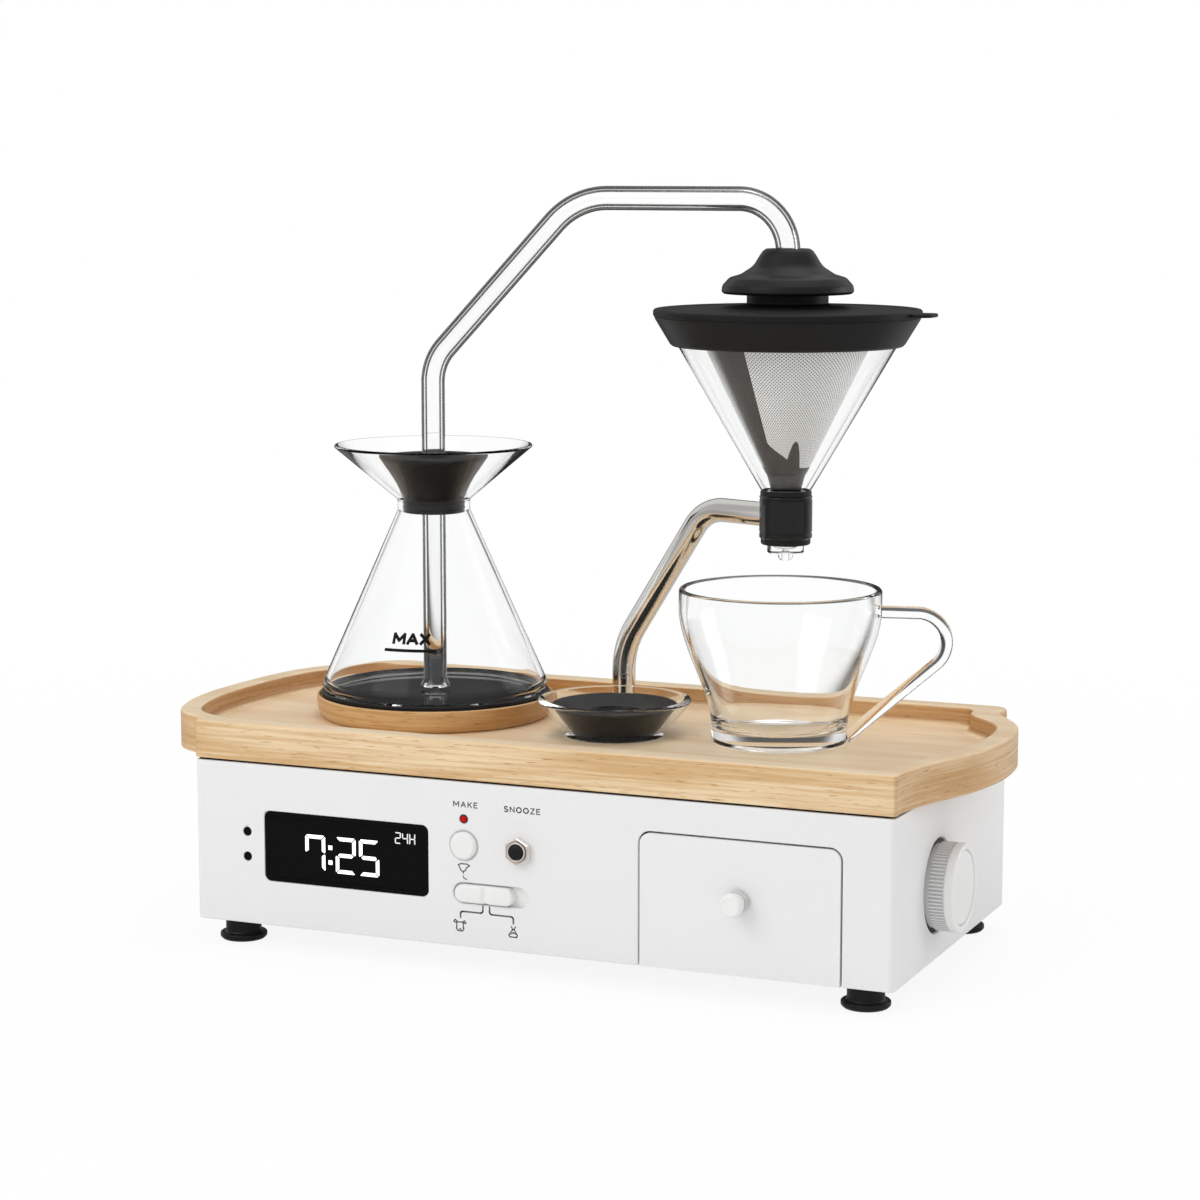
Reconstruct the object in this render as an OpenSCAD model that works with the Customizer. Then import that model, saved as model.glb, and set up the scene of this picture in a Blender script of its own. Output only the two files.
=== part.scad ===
// Bedside coffee maker with an alarm clock. A white clock housing carries a wooden tray. On the tray
// stand a heated flask, a glass riser tube, a dripper on a bent arm, a cup and a cooled milk vessel.
// Millimetres, X to the right, Y to the back, Z up. The origin is at the middle of the footprint, on
// the surface that the feet stand on.

/* [Housing] */
// Width of the housing
housing_w = 295; // [290:1:320]
// Depth of the housing
housing_d = 150; // [147:1:170]
// Height of the housing
housing_h = 65.5; // [64:0.5:75]
// Wall of the housing
housing_wall = 2.5; // [2:0.1:3]
// Radius of the upright edges
housing_edge_r = 2.5; // [1:0.5:5]
// Thickness of the base plate
base_t = 2.5; // [2:0.1:4]
// Radius of the posts that take the base screws
post_r = 4; // [3.5:0.1:5]
// Distance of the posts from the front and from the back
post_inset_y = 36; // [30:1:40]
// Shank radius of the small screws
screw_r = 1.3; // [1:0.1:1.6]
// Head radius of the small screws
screw_head_r = 2.6; // [2:0.1:3.2]

/* [Feet] */
// Height of the housing above the table
foot_h = 9.5; // [6:0.5:14]
// Radius of a foot's flange
foot_r = 9.5; // [8:0.5:12]
// Radius of a foot's neck
foot_neck_r = 7.2; // [6:0.1:7.5]
// Thickness of a foot's flange
foot_flange_t = 2.8; // [2:0.1:4]
// Radius of the stem that goes through the base plate
foot_stem_r = 3.6; // [3:0.1:4.5]
// Distance of a foot's axis from the end of the housing
foot_inset_x = 14.5; // [13:0.5:20]
// Distance of a foot's axis from the front and from the back
foot_inset_y = 12; // [11:0.5:18]

/* [Tray] */
// Thickness of the tray
tray_t = 16.2; // [14:0.1:20]
// Depth of the tray behind the housing
tray_overhang = 6; // [3:0.5:10]
// Width of the rim round the pocket
tray_rim = 9; // [7:0.5:11]
// Depth of the pocket
tray_pocket = 8; // [6:0.5:9]
// Reach of the round bulge at each end
tray_bulge = 18.5; // [14:0.5:22]
// Half the length of a bulge along the end
bulge_half = 66; // [60:1:66]
// Radius where a bulge runs into the end
bulge_fillet = 6; // [3:0.5:7]
// Radius of the front corners
tray_front_r = 1.5; // [1:0.5:3]
// Radius of the back corners
tray_back_r = 7; // [3:0.5:8]
// Radius of the pocket's corners
pocket_corner_r = 4; // [2:0.5:6]
// Height of the shadow gap over the housing
tray_reveal = 0.8; // [0.4:0.1:1.5]
// Depth of the shadow gap
tray_reveal_d = 1.6; // [1:0.1:3]
// Distance of a tray screw from the end of the housing
tray_screw_x = 30; // [24:1:34]
// Distance of a tray screw from the front and back of the housing
tray_screw_y = 19; // [16:1:20]

/* [Front panel] */
// Middle of the display from the left end, as a share of the housing's width
display_share = 0.2302; // [0.22:0.0001:0.235]
// Middle of the display above the underside of the housing
display_z = 32.6; // [30:0.1:36]
// Width of the display window
display_w = 72.8; // [60:0.1:76]
// Height of the display window
display_h = 28.6; // [24:0.1:34]
// Radius of the window's corners
display_r = 2.7; // [1:0.1:4]
// Thickness of the flange behind the window
window_flange_t = 1.5; // [1:0.1:2.5]
// Width of the flange behind the window
window_flange_w = 2; // [1:0.1:3]
// Thickness of the display module
module_t = 8; // [5:0.5:12]
// Distance from the sensor windows to the display
sensor_gap = 7.9; // [6:0.1:10]
// Distance between the two sensor windows
sensor_pitch = 10.2; // [8:0.1:14]
// Radius of a sensor window
sensor_r = 1.7; // [1.2:0.1:2]
// Distance from the display to the middle of the start button
start_gap = 15.5; // [14:0.1:18]
// Middle of the start button above the underside of the housing
start_z = 40.4; // [39:0.1:42]
// Radius of the start button
start_r = 5.9; // [5:0.1:6.2]
// Reach of the start button in front of the panel
start_reach = 2.4; // [1.8:0.1:3]
// Travel of the start button
start_travel = 1.5; // [1:0.1:1.7]
// Status light above the middle of the start button
led_rise = 10.5; // [9.5:0.1:12]
// Radius of the status light
led_r = 1.6; // [1.2:0.1:2]
// Distance from the start button to the hex-nut button
snooze_gap = 23.7; // [22:0.1:26]
// Width across the flats of the nut
snooze_nut_w = 10; // [9:0.1:11]
// Thickness of the nut
snooze_nut_t = 3; // [2.4:0.1:3.6]
// Radius of the barrel that the nut clamps
snooze_barrel_r = 3.9; // [3.7:0.1:4.2]
// Radius of the black button in the barrel
snooze_button_r = 3.1; // [2.5:0.1:3.2]
// Travel of the black button
snooze_travel = 1.2; // [0.8:0.1:1.4]
// Middle of the slide switch to the right of the start button
slide_shift = 11.3; // [10:0.1:13]
// Middle of the slide switch above the underside of the housing
slide_z = 21.5; // [19:0.1:23]
// Length of the slide switch's slot
slide_w = 32; // [30:0.1:34]
// Height of the slide switch's slot
slide_h = 8.3; // [7:0.1:9]
// Travel of the slide cap
slide_travel = 5; // [4:0.1:6]
// Reach of the slide cap in front of the panel
slide_reach = 1.8; // [1:0.1:2.4]
// Distance from the panel's face to the control board
board_y = 11.5; // [11:0.1:14]
// Thickness of the circuit boards
board_t = 1.6; // [1:0.1:2]

/* [Drawer] */
// Right edge of the drawer opening from the right end
drawer_right = 20.3; // [19.5:0.1:24]
// Width of the drawer opening
drawer_w = 81.7; // [76:0.1:84]
// Height of the drawer opening
drawer_h = 52.8; // [44:0.1:55]
// Radius of the opening's top corners
drawer_corner_r = 5; // [3:0.5:8]
// Gap round the drawer front
drawer_gap = 0.7; // [0.4:0.1:1]
// Space from the drawer box to the back of the housing
drawer_back = 32; // [30:1:50]
// Height of the drawer box
drawer_box_h = 44; // [30:1:44]
// Distance from the edge of the front to the box
drawer_side = 4; // [3:0.5:6]
// Wall of the drawer box
drawer_wall = 2; // [1.5:0.1:3]
// Height of a drawer rail
rail_h = 12; // [8:0.5:16]
// Thickness of a drawer rail
rail_t = 2; // [1.5:0.1:2.5]
// Middle of the drawer knob above the underside of the housing
drawer_knob_z = 29.2; // [20:0.1:40]
// Radius of the drawer knob
drawer_knob_r = 4.5; // [4:0.1:6]
// Length of the drawer knob
drawer_knob_l = 10; // [8:0.5:14]

/* [Rotary knob] */
// Knob axis from the front
knob_y = 55.4; // [51:0.1:60]
// Knob axis above the underside of the housing
knob_z = 28.7; // [25:0.1:32]
// Radius of the knob
knob_r = 17.3; // [15:0.1:19]
// Reach of the knob beside the housing
knob_reach = 10.6; // [9:0.1:13]
// Depth of the round recess that the knob sits in
knob_recess = 1.2; // [0.8:0.1:1.4]
// Width of the rim round the knob's face disc
knob_rim = 2.7; // [2:0.1:4]
// Number of grip ribs round the knob
knob_ribs = 72; // [48:1:84]
// Radius of the shaft
shaft_r = 3; // [2:0.1:3]
// Radius of the encoder's threaded bush
bush_r = 3.9; // [3.6:0.1:4.2]

/* [Flask] */
// Axis of the flask from the left end, as a share of the housing's width
flask_share = 0.217; // [0.21:0.001:0.224]
// Axis of flask and dripper from the front, as a share of the housing's depth
brew_share = 0.6; // [0.59:0.001:0.606]
// Height of the coaster
coaster_t = 8.1; // [7:0.1:10]
// Radius of the coaster's top
coaster_r = 49.6; // [48.5:0.1:50]
// Radius of the coaster's foot
coaster_foot_r = 46.4; // [45.6:0.1:47.5]
// Radius of the heater plate
heater_r = 44; // [43:0.1:44.5]
// Height of the flask
flask_h = 105.4; // [100:0.1:112]
// Radius of the flask above its base
flask_base_r = 47.2; // [46:0.1:47.5]
// Wall of the glass
glass_t = 2; // [1.5:0.1:2.4]
// Height of the neck's lower end above the flask's base
flask_neck_z = 78; // [74:0.1:80]
// Height of the neck
flask_neck_h = 4.5; // [4:0.1:6]
// Radius of the neck
flask_neck_r = 15.1; // [14:0.1:16]
// Radius of the flared rim
flask_rim_r = 41.3; // [38:0.1:43]
// Height of the rubber ring round the flask's base
base_ring_h = 4.2; // [3:0.1:5]
// Radius of the stopper's top
stopper_r = 22.8; // [20:0.1:24]
// Height of the stopper above the neck
stopper_h = 18; // [14:0.1:19]

/* [Riser] */
// Radius of the riser tube
riser_r = 4.85; // [4:0.05:5]
// Radius of the riser's bore
riser_bore_r = 3.3; // [2.8:0.1:3.4]
// Height of the lower elbow above the tray floor
riser_elbow_h = 147.9; // [140:0.1:152]
// Height of the top run above the tray floor
riser_top_h = 215.6; // [210:0.1:222]
// Slope of the slanted run
riser_slope = 46.3; // [42:0.1:52]
// Bend radius of the lower elbow
riser_low_bend = 21; // [16:0.5:26]
// Bend radius of the upper elbow
riser_high_bend = 32.5; // [24:0.5:36]
// Bend radius over the dripper
riser_end_bend = 20.5; // [16:0.5:21]

/* [Dripper] */
// Axis of the dripper from the right end, as a share of the housing's width
drip_share = 0.256; // [0.25:0.001:0.264]
// Height of the collar above the tray floor
collar_lift = 81.8; // [80:0.1:86]
// Height of the collar
collar_h = 17.3; // [15:0.1:18]
// Radius of the collar
collar_r = 10.5; // [10.3:0.1:11.5]
// Wall of the collar
collar_wall = 1.9; // [1.7:0.1:2]
// Wall of the gasket in the collar
gasket_wall = 1.1; // [0.9:0.1:1.3]
// Height of the gasket's bead over the collar
gasket_bead = 2; // [1.5:0.1:3]
// Height of the gasket's lip under the collar
gasket_lip = 2.4; // [1.5:0.1:3]
// Height of the glass cone
cone_h = 62.7; // [58:0.1:66]
// Radius of the cone's rim
cone_r = 46.4; // [44:0.1:48]
// Radius of the cone where it sits on the gasket
cone_seat_r = 9.2; // [9:0.1:9.4]
// Length of the spout under the collar
spout_l = 6; // [5:0.1:8]
// Length of the drip tip
drip_tip = 2.8; // [2:0.1:3]
// Radius of the filter ring's top
ring_r = 52.6; // [51:0.1:54]
// Height of the filter ring over the cone's rim
ring_t = 5.8; // [4:0.1:7]
// Depth of the filter ring's skirt
ring_skirt = 5.7; // [4:0.1:7]
// Wall of the skirt at its lower edge
ring_wall = 3; // [2.4:0.1:3.6]
// Radius of the mesh at its top
mesh_r = 36; // [34:0.1:38]
// Radius of the mesh at its foot
mesh_foot_r = 8.2; // [7.8:0.1:8.6]
// Thickness of the mesh
mesh_t = 0.8; // [0.6:0.1:1]
// Reach of the lid over the filter ring
lid_over = 0.4; // [0.2:0.1:1]
// Thickness of the lid's edge
lid_t = 3; // [2.5:0.1:4]
// Rise of the lid towards its middle
lid_rise = 1.8; // [1:0.1:3]
// Reach of the lid's tab
tab_l = 7.5; // [5:0.1:10]
// Width of the lid's tab
tab_w = 14; // [10:0.1:18]
// Height of the dispenser cap's neck
cap_neck_h = 4; // [3:0.1:5]
// Radius of the dispenser cap's neck
cap_neck_r = 16.1; // [15:0.1:17]
// Radius of the dispenser cap's brim
cap_r = 26.1; // [24:0.1:28]
// Height of the dispenser cap over its neck
cap_h = 17.6; // [16:0.1:18.5]
// Radius of the dispenser cap's top
cap_top_r = 9; // [8:0.1:10]

/* [Support arm] */
// Foot of the arm from the left end, as a share of the housing's width
arm_share = 0.4661; // [0.461:0.0001:0.468]
// Foot of the arm from the front, as a share of the housing's depth
arm_depth_share = 0.8; // [0.793:0.001:0.813]
// Radius of the arm's tube
arm_r = 4.8; // [4.4:0.1:5]
// Wall of the arm's tube
arm_wall = 1.2; // [1:0.1:2]
// Height of the lower bend above the tray floor
arm_elbow_h = 28.9; // [26:0.1:32]
// Slope of the slanted run
arm_slope = 53.8; // [52:0.1:56]
// Radius of the lower bend
arm_low_bend = 32; // [24:0.5:34]
// Radius of the upper bend
arm_high_bend = 19; // [16:0.5:22]
// Width across the flats of the nut under the tray
arm_nut_w = 17; // [15:0.1:19]
// Thickness of that nut
arm_nut_t = 5; // [4:0.1:6]

/* [Cup] */
// Cup axis to the right of the dripper's axis
cup_shift_x = -1.3; // [-2:0.1:1]
// Cup axis behind the dripper's axis
cup_shift_y = -2; // [-4:0.1:0]
// Height of the cup
cup_h = 61.7; // [58:0.1:64]
// Radius of the cup's rim
cup_rim_r = 40.5; // [38:0.1:41]
// Radius of the cup's foot
cup_foot_r = 27.3; // [25:0.1:28]
// Thickness of the cup's bottom
cup_floor = 5; // [3:0.1:7]
// Radius of the handle's rod
handle_r = 2.5; // [2:0.1:3]
// Height of the handle's upper run above the cup's base
handle_z = 53.2; // [50:0.1:55]
// Reach of the handle's upper run beside the rim
handle_reach = 14.4; // [12:0.1:17]
// Bend radius of the handle
handle_bend = 11.5; // [9:0.5:13]
// Height at which the handle meets the cup's foot
handle_foot_z = 2.2; // [2:0.1:4]
// Angle of the handle round the cup
handle_angle = 12; // [0:1:20]

/* [Milk vessel] */
// Axis of the vessel from the left end, as a share of the housing's width
vessel_share = 0.5153; // [0.51:0.0001:0.519]
// Axis of the vessel from the front, as a share of the housing's depth
vessel_depth_share = 0.5; // [0.487:0.001:0.507]
// Radius of the vessel's rim
vessel_rim_r = 31.4; // [29:0.1:31.5]
// Height of the rim above the tray floor
vessel_rim_h = 14.8; // [13:0.1:17]
// Radius of the vessel where it meets the tray
vessel_seat_r = 20.6; // [20.4:0.1:21]
// Radius of the vessel's lower part
vessel_r = 18.4; // [17.5:0.1:18.5]
// Wall of the vessel's dish
vessel_wall = 3; // [2.4:0.1:3.4]
// Depth of the vessel under the tray floor
vessel_d = 42; // [38:0.5:44]
// Wall of the cooling well
well_wall = 1.2; // [1:0.1:1.6]
// Radius of the well's flange under the tray
well_flange_r = 25; // [23.5:0.1:26]
// Width of the thermoelectric tile
tile_w = 36; // [30:1:40]
// Thickness of the thermoelectric tile
tile_t = 4; // [3:0.1:5]
// Width of the heat sink
sink_w = 46; // [40:1:50]

/* [Clearances] */
// Gap beside a moving piece
gap_move = 0.3; // [0.2:0.05:0.4]
// Gap under a piece that stands loose
gap_rest = 0.2; // [0.1:0.05:0.3]
// Radial clearance of a turning or sliding fit
fit_run = 0.06; // [0.02:0.01:0.1]
// Gap round a fixed piece in its hole
fit_fixed = 0.1; // [0.05:0.01:0.2]

/* [Hidden] */
$fn = 72;
tray_d = housing_d + tray_overhang;
front_y = -(tray_d - drawer_knob_l) / 2;
left_x = -housing_w / 2;
right_x = housing_w / 2;
under_z = foot_h;
top_z = under_z + housing_h;
base_top = under_z + base_t;
tray_top = top_z + tray_t;
floor_z = tray_top - tray_pocket;
inner_front = front_y + housing_wall;
inner_back = front_y + housing_d - housing_wall;
through = 1;
bend_swell = 0.03;
bend_lap = 0.6;

display_x = display_share * housing_w;
sensor_x = display_x - display_w / 2 - sensor_gap;
start_x = display_x + display_w / 2 + start_gap;
snooze_x = start_x + snooze_gap;
slide_x = start_x + slide_shift;
drawer_l = housing_d - drawer_back;

flask_ax = left_x + flask_share * housing_w;
brew_ay = front_y + brew_share * housing_d;
drip_ax = right_x - drip_share * housing_w;
coaster_top = floor_z + coaster_t;
flask_z = coaster_top + gap_rest;
neck_z = flask_z + flask_neck_z;
neck_top = neck_z + flask_neck_h;
collar_z = floor_z + collar_lift;
collar_top = collar_z + collar_h;
cone_z = collar_top + gasket_bead + fit_fixed;
cone_rim_z = cone_z + cone_h;
cone_slope = (cone_r - cone_seat_r) / cone_h;
ring_top = cone_rim_z + ring_t;
lid_top = ring_top + lid_t + lid_rise;
cap_z = lid_top + gap_rest;
gasket_r = collar_r - collar_wall - fit_fixed;
stem_r = gasket_r - gasket_wall - fit_fixed;
arm_ax = left_x + arm_share * housing_w;
arm_ay = front_y + arm_depth_share * housing_d;
vessel_ax = left_x + vessel_share * housing_w;
vessel_ay = front_y + vessel_depth_share * housing_d;
well_r = vessel_r + gap_move + well_wall;
well_z = floor_z - vessel_d - gap_move - well_wall;
post_sink = 0.8;
heater_pan_r = heater_r - 2;
heater_seat = 1.2;
heater_drop = 8;
drawer_mid = right_x - drawer_right - drawer_w / 2;
drawer_box_w = drawer_w - 2 * drawer_gap - 2 * drawer_side;
drawer_floor = base_top + gap_move;
knob_ay = front_y + knob_y;
knob_az = under_z + knob_z;
encoder_w = 13;
encoder_t = 6.5;
start_flange = 1.3;
start_flange_t = 1.5;
switch_y = housing_wall + gap_move + start_flange_t + start_travel + gap_move;
snooze_back_t = 6;
slide_cap_w = slide_w - 2 * gap_move - slide_travel;
slide_plate_t = 1.5;
slide_peg = 3;
inlet_w = 22;
inlet_h = 14;
inlet_left = 40;
inlet_rise = 26;
inlet_x = left_x + inlet_left;
inlet_z = under_z + inlet_rise;
speaker_x = drawer_mid;
speaker_rise = 30;
speaker_z = under_z + speaker_rise;
speaker_r = 18;
speaker_l = 13;
speaker_cone_l = 7;
magnet_r = 10;
power_x = flask_ax;
power_y = brew_ay;
power_w = 84;
power_d = 80;
power_post = 4;

// Flat shapes

module rounded_rect(w, d, r) {
    square([w - 2 * r, d], center = true);
    square([w, d - 2 * r], center = true);
    for (sx = [-1, 1], sy = [-1, 1])
        translate([sx * (w / 2 - r), sy * (d / 2 - r)])
            circle(r);
}

module stadium(l, h) {
    square([l - h, h], center = true);
    for (s = [-1, 1])
        translate([s * (l - h) / 2, 0])
            circle(h / 2);
}

module hexagon(across_flats) {
    circle(r = across_flats / sqrt(3), $fn = 6);
}

// Places children on the front panel so that they grow backwards from a depth behind its face
module behind_front(x, y, z) {
    translate([x, front_y + y, z])
        rotate([-90, 0, 0])
            children();
}

// Places children beside the right-hand wall so that they grow outwards from a distance to its face
module beside_right(x) {
    translate([right_x + x, knob_ay, knob_az])
        rotate([0, 90, 0])
            children();
}

// Rods and tubes bent in the XZ plane. A step is [straight length, turn to the right, bend radius].
// A bend is a hair thicker than the straight runs, which reach into it a little at both ends.

module elbow(turn, bend, r) {
    translate([bend, 0, 0])
        rotate([90, 0, 180])
            rotate_extrude(angle = turn)
                translate([bend, 0])
                    circle(r);
}

module bent_run(steps, r, i = 0) {
    length = steps[i][0];
    turn = steps[i][1];
    bend = steps[i][2];
    head = i > 0 ? bend_lap : 0;
    tail = turn > 0 ? bend_lap : 0;
    translate([0, 0, -head])
        cylinder(h = head + length + tail, r = r);
    if (turn > 0)
        translate([0, 0, length]) {
            elbow(turn, bend, r + bend_swell);
            translate([bend * (1 - cos(turn)), 0, bend * sin(turn)])
                rotate([0, turn, 0])
                    bent_run(steps, r, i + 1);
        }
}

module bent_tube(steps, r, bore_r) {
    last = len(steps) - 1;
    bore_steps = [for (i = [0:last])
        [steps[i][0] + (i == 0 ? through : 0) + (i == last ? through : 0), steps[i][1], steps[i][2]]];
    difference() {
        bent_run(steps, r);
        translate([0, 0, -through])
            bent_run(bore_steps, bore_r);
    }
}

// Housing

module base_screw_places() {
    for (s = [-1, 1], y = [post_inset_y, housing_d - post_inset_y])
        translate([s * (right_x - housing_wall - post_r + post_sink), front_y + y, 0])
            children();
}

module tray_screw_places() {
    for (s = [-1, 1], y = [tray_screw_y, housing_d - tray_screw_y])
        translate([s * (right_x - tray_screw_x), front_y + y, 0])
            children();
}

module housing_plan(inset) {
    translate([0, front_y + housing_d / 2])
        rounded_rect(housing_w - 2 * inset, housing_d - 2 * inset, max(0.5, housing_edge_r - inset));
}

module drawer_front_plan(grow) {
    w = drawer_w + 2 * grow;
    h = drawer_h + grow;
    r = drawer_corner_r + grow;
    translate([-w / 2, 0])
        square([w, h - r]);
    translate([-w / 2 + r, 0])
        square([w - 2 * r, h]);
    for (s = [-1, 1])
        translate([s * (w / 2 - r), h - r])
            circle(r);
}

// A slice of the drawer front's outline, from a depth behind the panel's face towards the front
module drawer_front_slice(grow, depth, t) {
    translate([drawer_mid, front_y + depth, under_z])
        rotate([90, 0, 0])
            linear_extrude(t)
                drawer_front_plan(grow);
}

board_x0 = start_x - 11;
board_x1 = snooze_x + 12;
board_z0 = slide_z - 11;
board_z1 = start_z + led_rise + 7;
board_post_r = 2;

module board_post_places() {
    for (x = [board_x0 + board_post_r, board_x1 - board_post_r],
            z = [board_z0 + board_post_r, board_z1 - board_post_r])
        translate([left_x + x, 0, under_z + z])
            children();
}

module housing_front_holes() {
    cut = housing_wall + 2 * through;
    behind_front(left_x + display_x, -through, under_z + display_z)
        linear_extrude(cut)
            rounded_rect(display_w, display_h, display_r);
    for (s = [-1, 1])
        behind_front(left_x + sensor_x, -through, under_z + display_z + s * sensor_pitch / 2)
            cylinder(h = cut, r = sensor_r + fit_fixed);
    behind_front(left_x + start_x, -through, under_z + start_z)
        cylinder(h = cut, r = start_r + gap_move);
    behind_front(left_x + start_x, -through, under_z + start_z + led_rise)
        cylinder(h = cut, r = led_r + fit_fixed);
    behind_front(left_x + snooze_x, -through, under_z + start_z)
        cylinder(h = cut, r = snooze_barrel_r + fit_fixed);
    behind_front(left_x + slide_x, -through, under_z + slide_z)
        linear_extrude(cut)
            stadium(slide_w, slide_h);
    drawer_front_slice(0, housing_wall + through, cut);
}

module speaker_holes() {
    for (ring = [0:2], i = [0:max(0, 6 * ring - 1)])
        translate([speaker_x + ring * 5 * cos(60 * i / max(1, ring)), inner_back - through,
            speaker_z + ring * 5 * sin(60 * i / max(1, ring))])
            rotate([-90, 0, 0])
                cylinder(h = housing_wall + 2 * through, r = 1.2, $fn = 24);
}

module housing() {
    color("white")
        difference() {
            union() {
                difference() {
                    translate([0, 0, under_z])
                        linear_extrude(housing_h)
                            housing_plan(0);
                    translate([0, 0, under_z - through])
                        linear_extrude(housing_h - housing_wall + through)
                            housing_plan(housing_wall);
                }
                base_screw_places()
                    translate([0, 0, base_top])
                        cylinder(h = top_z - base_top - housing_wall / 2, r = post_r);
                board_post_places()
                    behind_front(0, housing_wall / 2, 0)
                        cylinder(h = board_y - housing_wall / 2, r = board_post_r);
            }
            housing_front_holes();
            speaker_holes();
            base_screw_places()
                translate([0, 0, base_top - through])
                    cylinder(h = 12 + through, r = screw_r);
            tray_screw_places()
                translate([0, 0, top_z - housing_wall - through])
                    cylinder(h = housing_wall + 2 * through, r = screw_r + fit_fixed);
            translate([flask_ax, brew_ay, top_z - housing_wall - through])
                cylinder(h = housing_wall + 2 * through, r = heater_pan_r + fit_fixed);
            translate([vessel_ax, vessel_ay, top_z - housing_wall - through])
                cylinder(h = housing_wall + 2 * through, r = well_flange_r + fit_fixed);
            translate([arm_ax, arm_ay, top_z - housing_wall - through])
                cylinder(h = housing_wall + 2 * through, r = arm_r + fit_fixed);
            beside_right(-knob_recess)
                cylinder(h = knob_recess + through, r = knob_r + gap_move + 1);
            beside_right(-housing_wall - through)
                cylinder(h = housing_wall + through, r = bush_r + fit_fixed);
            translate([inlet_x, inner_back + housing_wall / 2, inlet_z])
                cube([inlet_w + 2 * fit_fixed, housing_wall + 2 * through, inlet_h + 2 * fit_fixed],
                    center = true);
        }
}

module foot_places() {
    for (s = [-1, 1], y = [foot_inset_y, housing_d - foot_inset_y])
        translate([s * (right_x - foot_inset_x), front_y + y, 0])
            children();
}

vent_slots = 7;

module base_plate() {
    color("gainsboro")
        difference() {
            union() {
                translate([0, 0, under_z])
                    linear_extrude(base_t)
                        housing_plan(housing_wall + gap_move);
                for (sx = [-1, 1], sy = [-1, 1])
                    translate([power_x + sx * (power_w / 2 - 4), power_y + sy * (power_d / 2 - 4), under_z])
                        cylinder(h = base_t + power_post, r = 3);
            }
            foot_places()
                translate([0, 0, under_z - through])
                    cylinder(h = base_t + 2 * through, r = foot_stem_r + fit_fixed);
            base_screw_places()
                translate([0, 0, under_z - through])
                    cylinder(h = base_t + 2 * through, r = screw_r + fit_fixed);
            for (i = [0:vent_slots - 1])
                translate([vessel_ax + (i - (vent_slots - 1) / 2) * 6, vessel_ay, under_z - through])
                    linear_extrude(base_t + 2 * through)
                        rotate(90)
                            stadium(34, 2.4);
        }
}

module base_screws() {
    color("silver")
        base_screw_places() {
            translate([0, 0, under_z - 1.6])
                cylinder(h = 1.6, r = screw_head_r);
            translate([0, 0, under_z - 0.5])
                cylinder(h = base_t + 9.5, r = screw_r - fit_run);
        }
}

module feet() {
    lip = 1;
    color([0.1, 0.1, 0.1])
        foot_places()
            rotate_extrude()
                polygon([[0, 0], [foot_r - lip, 0], [foot_r, lip], [foot_r, foot_flange_t - 0.4],
                    [foot_r - 0.4, foot_flange_t], [foot_neck_r, foot_flange_t], [foot_neck_r, under_z],
                    [foot_stem_r, under_z], [foot_stem_r, base_top], [foot_stem_r + 1.4, base_top],
                    [foot_stem_r - 0.6, base_top + 3], [0, base_top + 3]]);
}

// Tray

bulge_r = (bulge_half * bulge_half + tray_bulge * tray_bulge) / (2 * tray_bulge);
bulge_cx = right_x + tray_bulge - bulge_r;
fillet_y = sqrt(tray_bulge * (2 * (bulge_r + bulge_fillet) - tray_bulge));

// The right-hand bulge of the tray's outline, moved inwards by inset, with the fillets at its ends
module bulge_plan(inset) {
    side = right_x - inset;
    inside = side - 12;
    ratio = (bulge_r - inset) / (bulge_r + bulge_fillet);
    touch_x = bulge_cx + (right_x + bulge_fillet - bulge_cx) * ratio;
    touch_y = fillet_y * ratio;
    intersection() {
        translate([bulge_cx, 0])
            circle(bulge_r - inset, $fn = 200);
        translate([inside, -touch_y])
            square([right_x + tray_bulge - inside, 2 * touch_y]);
    }
    for (s = [0, 1])
        mirror([0, s])
            difference() {
                polygon([[inside, touch_y - 1], [touch_x, touch_y - 1], [touch_x, touch_y],
                    [right_x + bulge_fillet, fillet_y], [side, fillet_y], [inside, fillet_y]]);
                translate([right_x + bulge_fillet, fillet_y])
                    circle(bulge_fillet + inset);
            }
}

module tray_plan(inset, front_r, back_r) {
    half_w = right_x - inset;
    half_d = tray_d / 2 - inset;
    translate([0, front_y + tray_d / 2]) {
        translate([-half_w + front_r, -half_d])
            square([2 * (half_w - front_r), 2 * half_d - back_r]);
        translate([-half_w + back_r, -half_d + front_r])
            square([2 * (half_w - back_r), 2 * half_d - front_r]);
        translate([-half_w, -half_d + front_r])
            square([2 * half_w, 2 * half_d - front_r - back_r]);
        for (s = [-1, 1]) {
            translate([s * (half_w - front_r), -half_d + front_r])
                circle(front_r);
            translate([s * (half_w - back_r), half_d - back_r])
                circle(back_r);
        }
        for (s = [0, 1])
            mirror([s, 0])
                bulge_plan(inset);
    }
}

module tray() {
    color("burlywood")
        difference() {
            union() {
                translate([0, 0, top_z + tray_reveal])
                    linear_extrude(tray_t - tray_reveal)
                        tray_plan(0, tray_front_r, tray_back_r);
                translate([0, 0, top_z])
                    linear_extrude(tray_reveal + 0.5)
                        housing_plan(tray_reveal_d);
            }
            translate([0, 0, floor_z])
                linear_extrude(tray_pocket + through)
                    tray_plan(tray_rim, pocket_corner_r, pocket_corner_r);
            translate([flask_ax, brew_ay, top_z - through])
                cylinder(h = tray_t, r = heater_pan_r + fit_fixed);
            translate([vessel_ax, vessel_ay, top_z - through])
                cylinder(h = tray_t, r = well_r + fit_fixed);
            translate([arm_ax, arm_ay, top_z - through])
                cylinder(h = tray_t, r = arm_r + fit_fixed);
            tray_screw_places()
                translate([0, 0, top_z - through])
                    cylinder(h = 5 + through, r = screw_r);
        }
}

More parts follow.
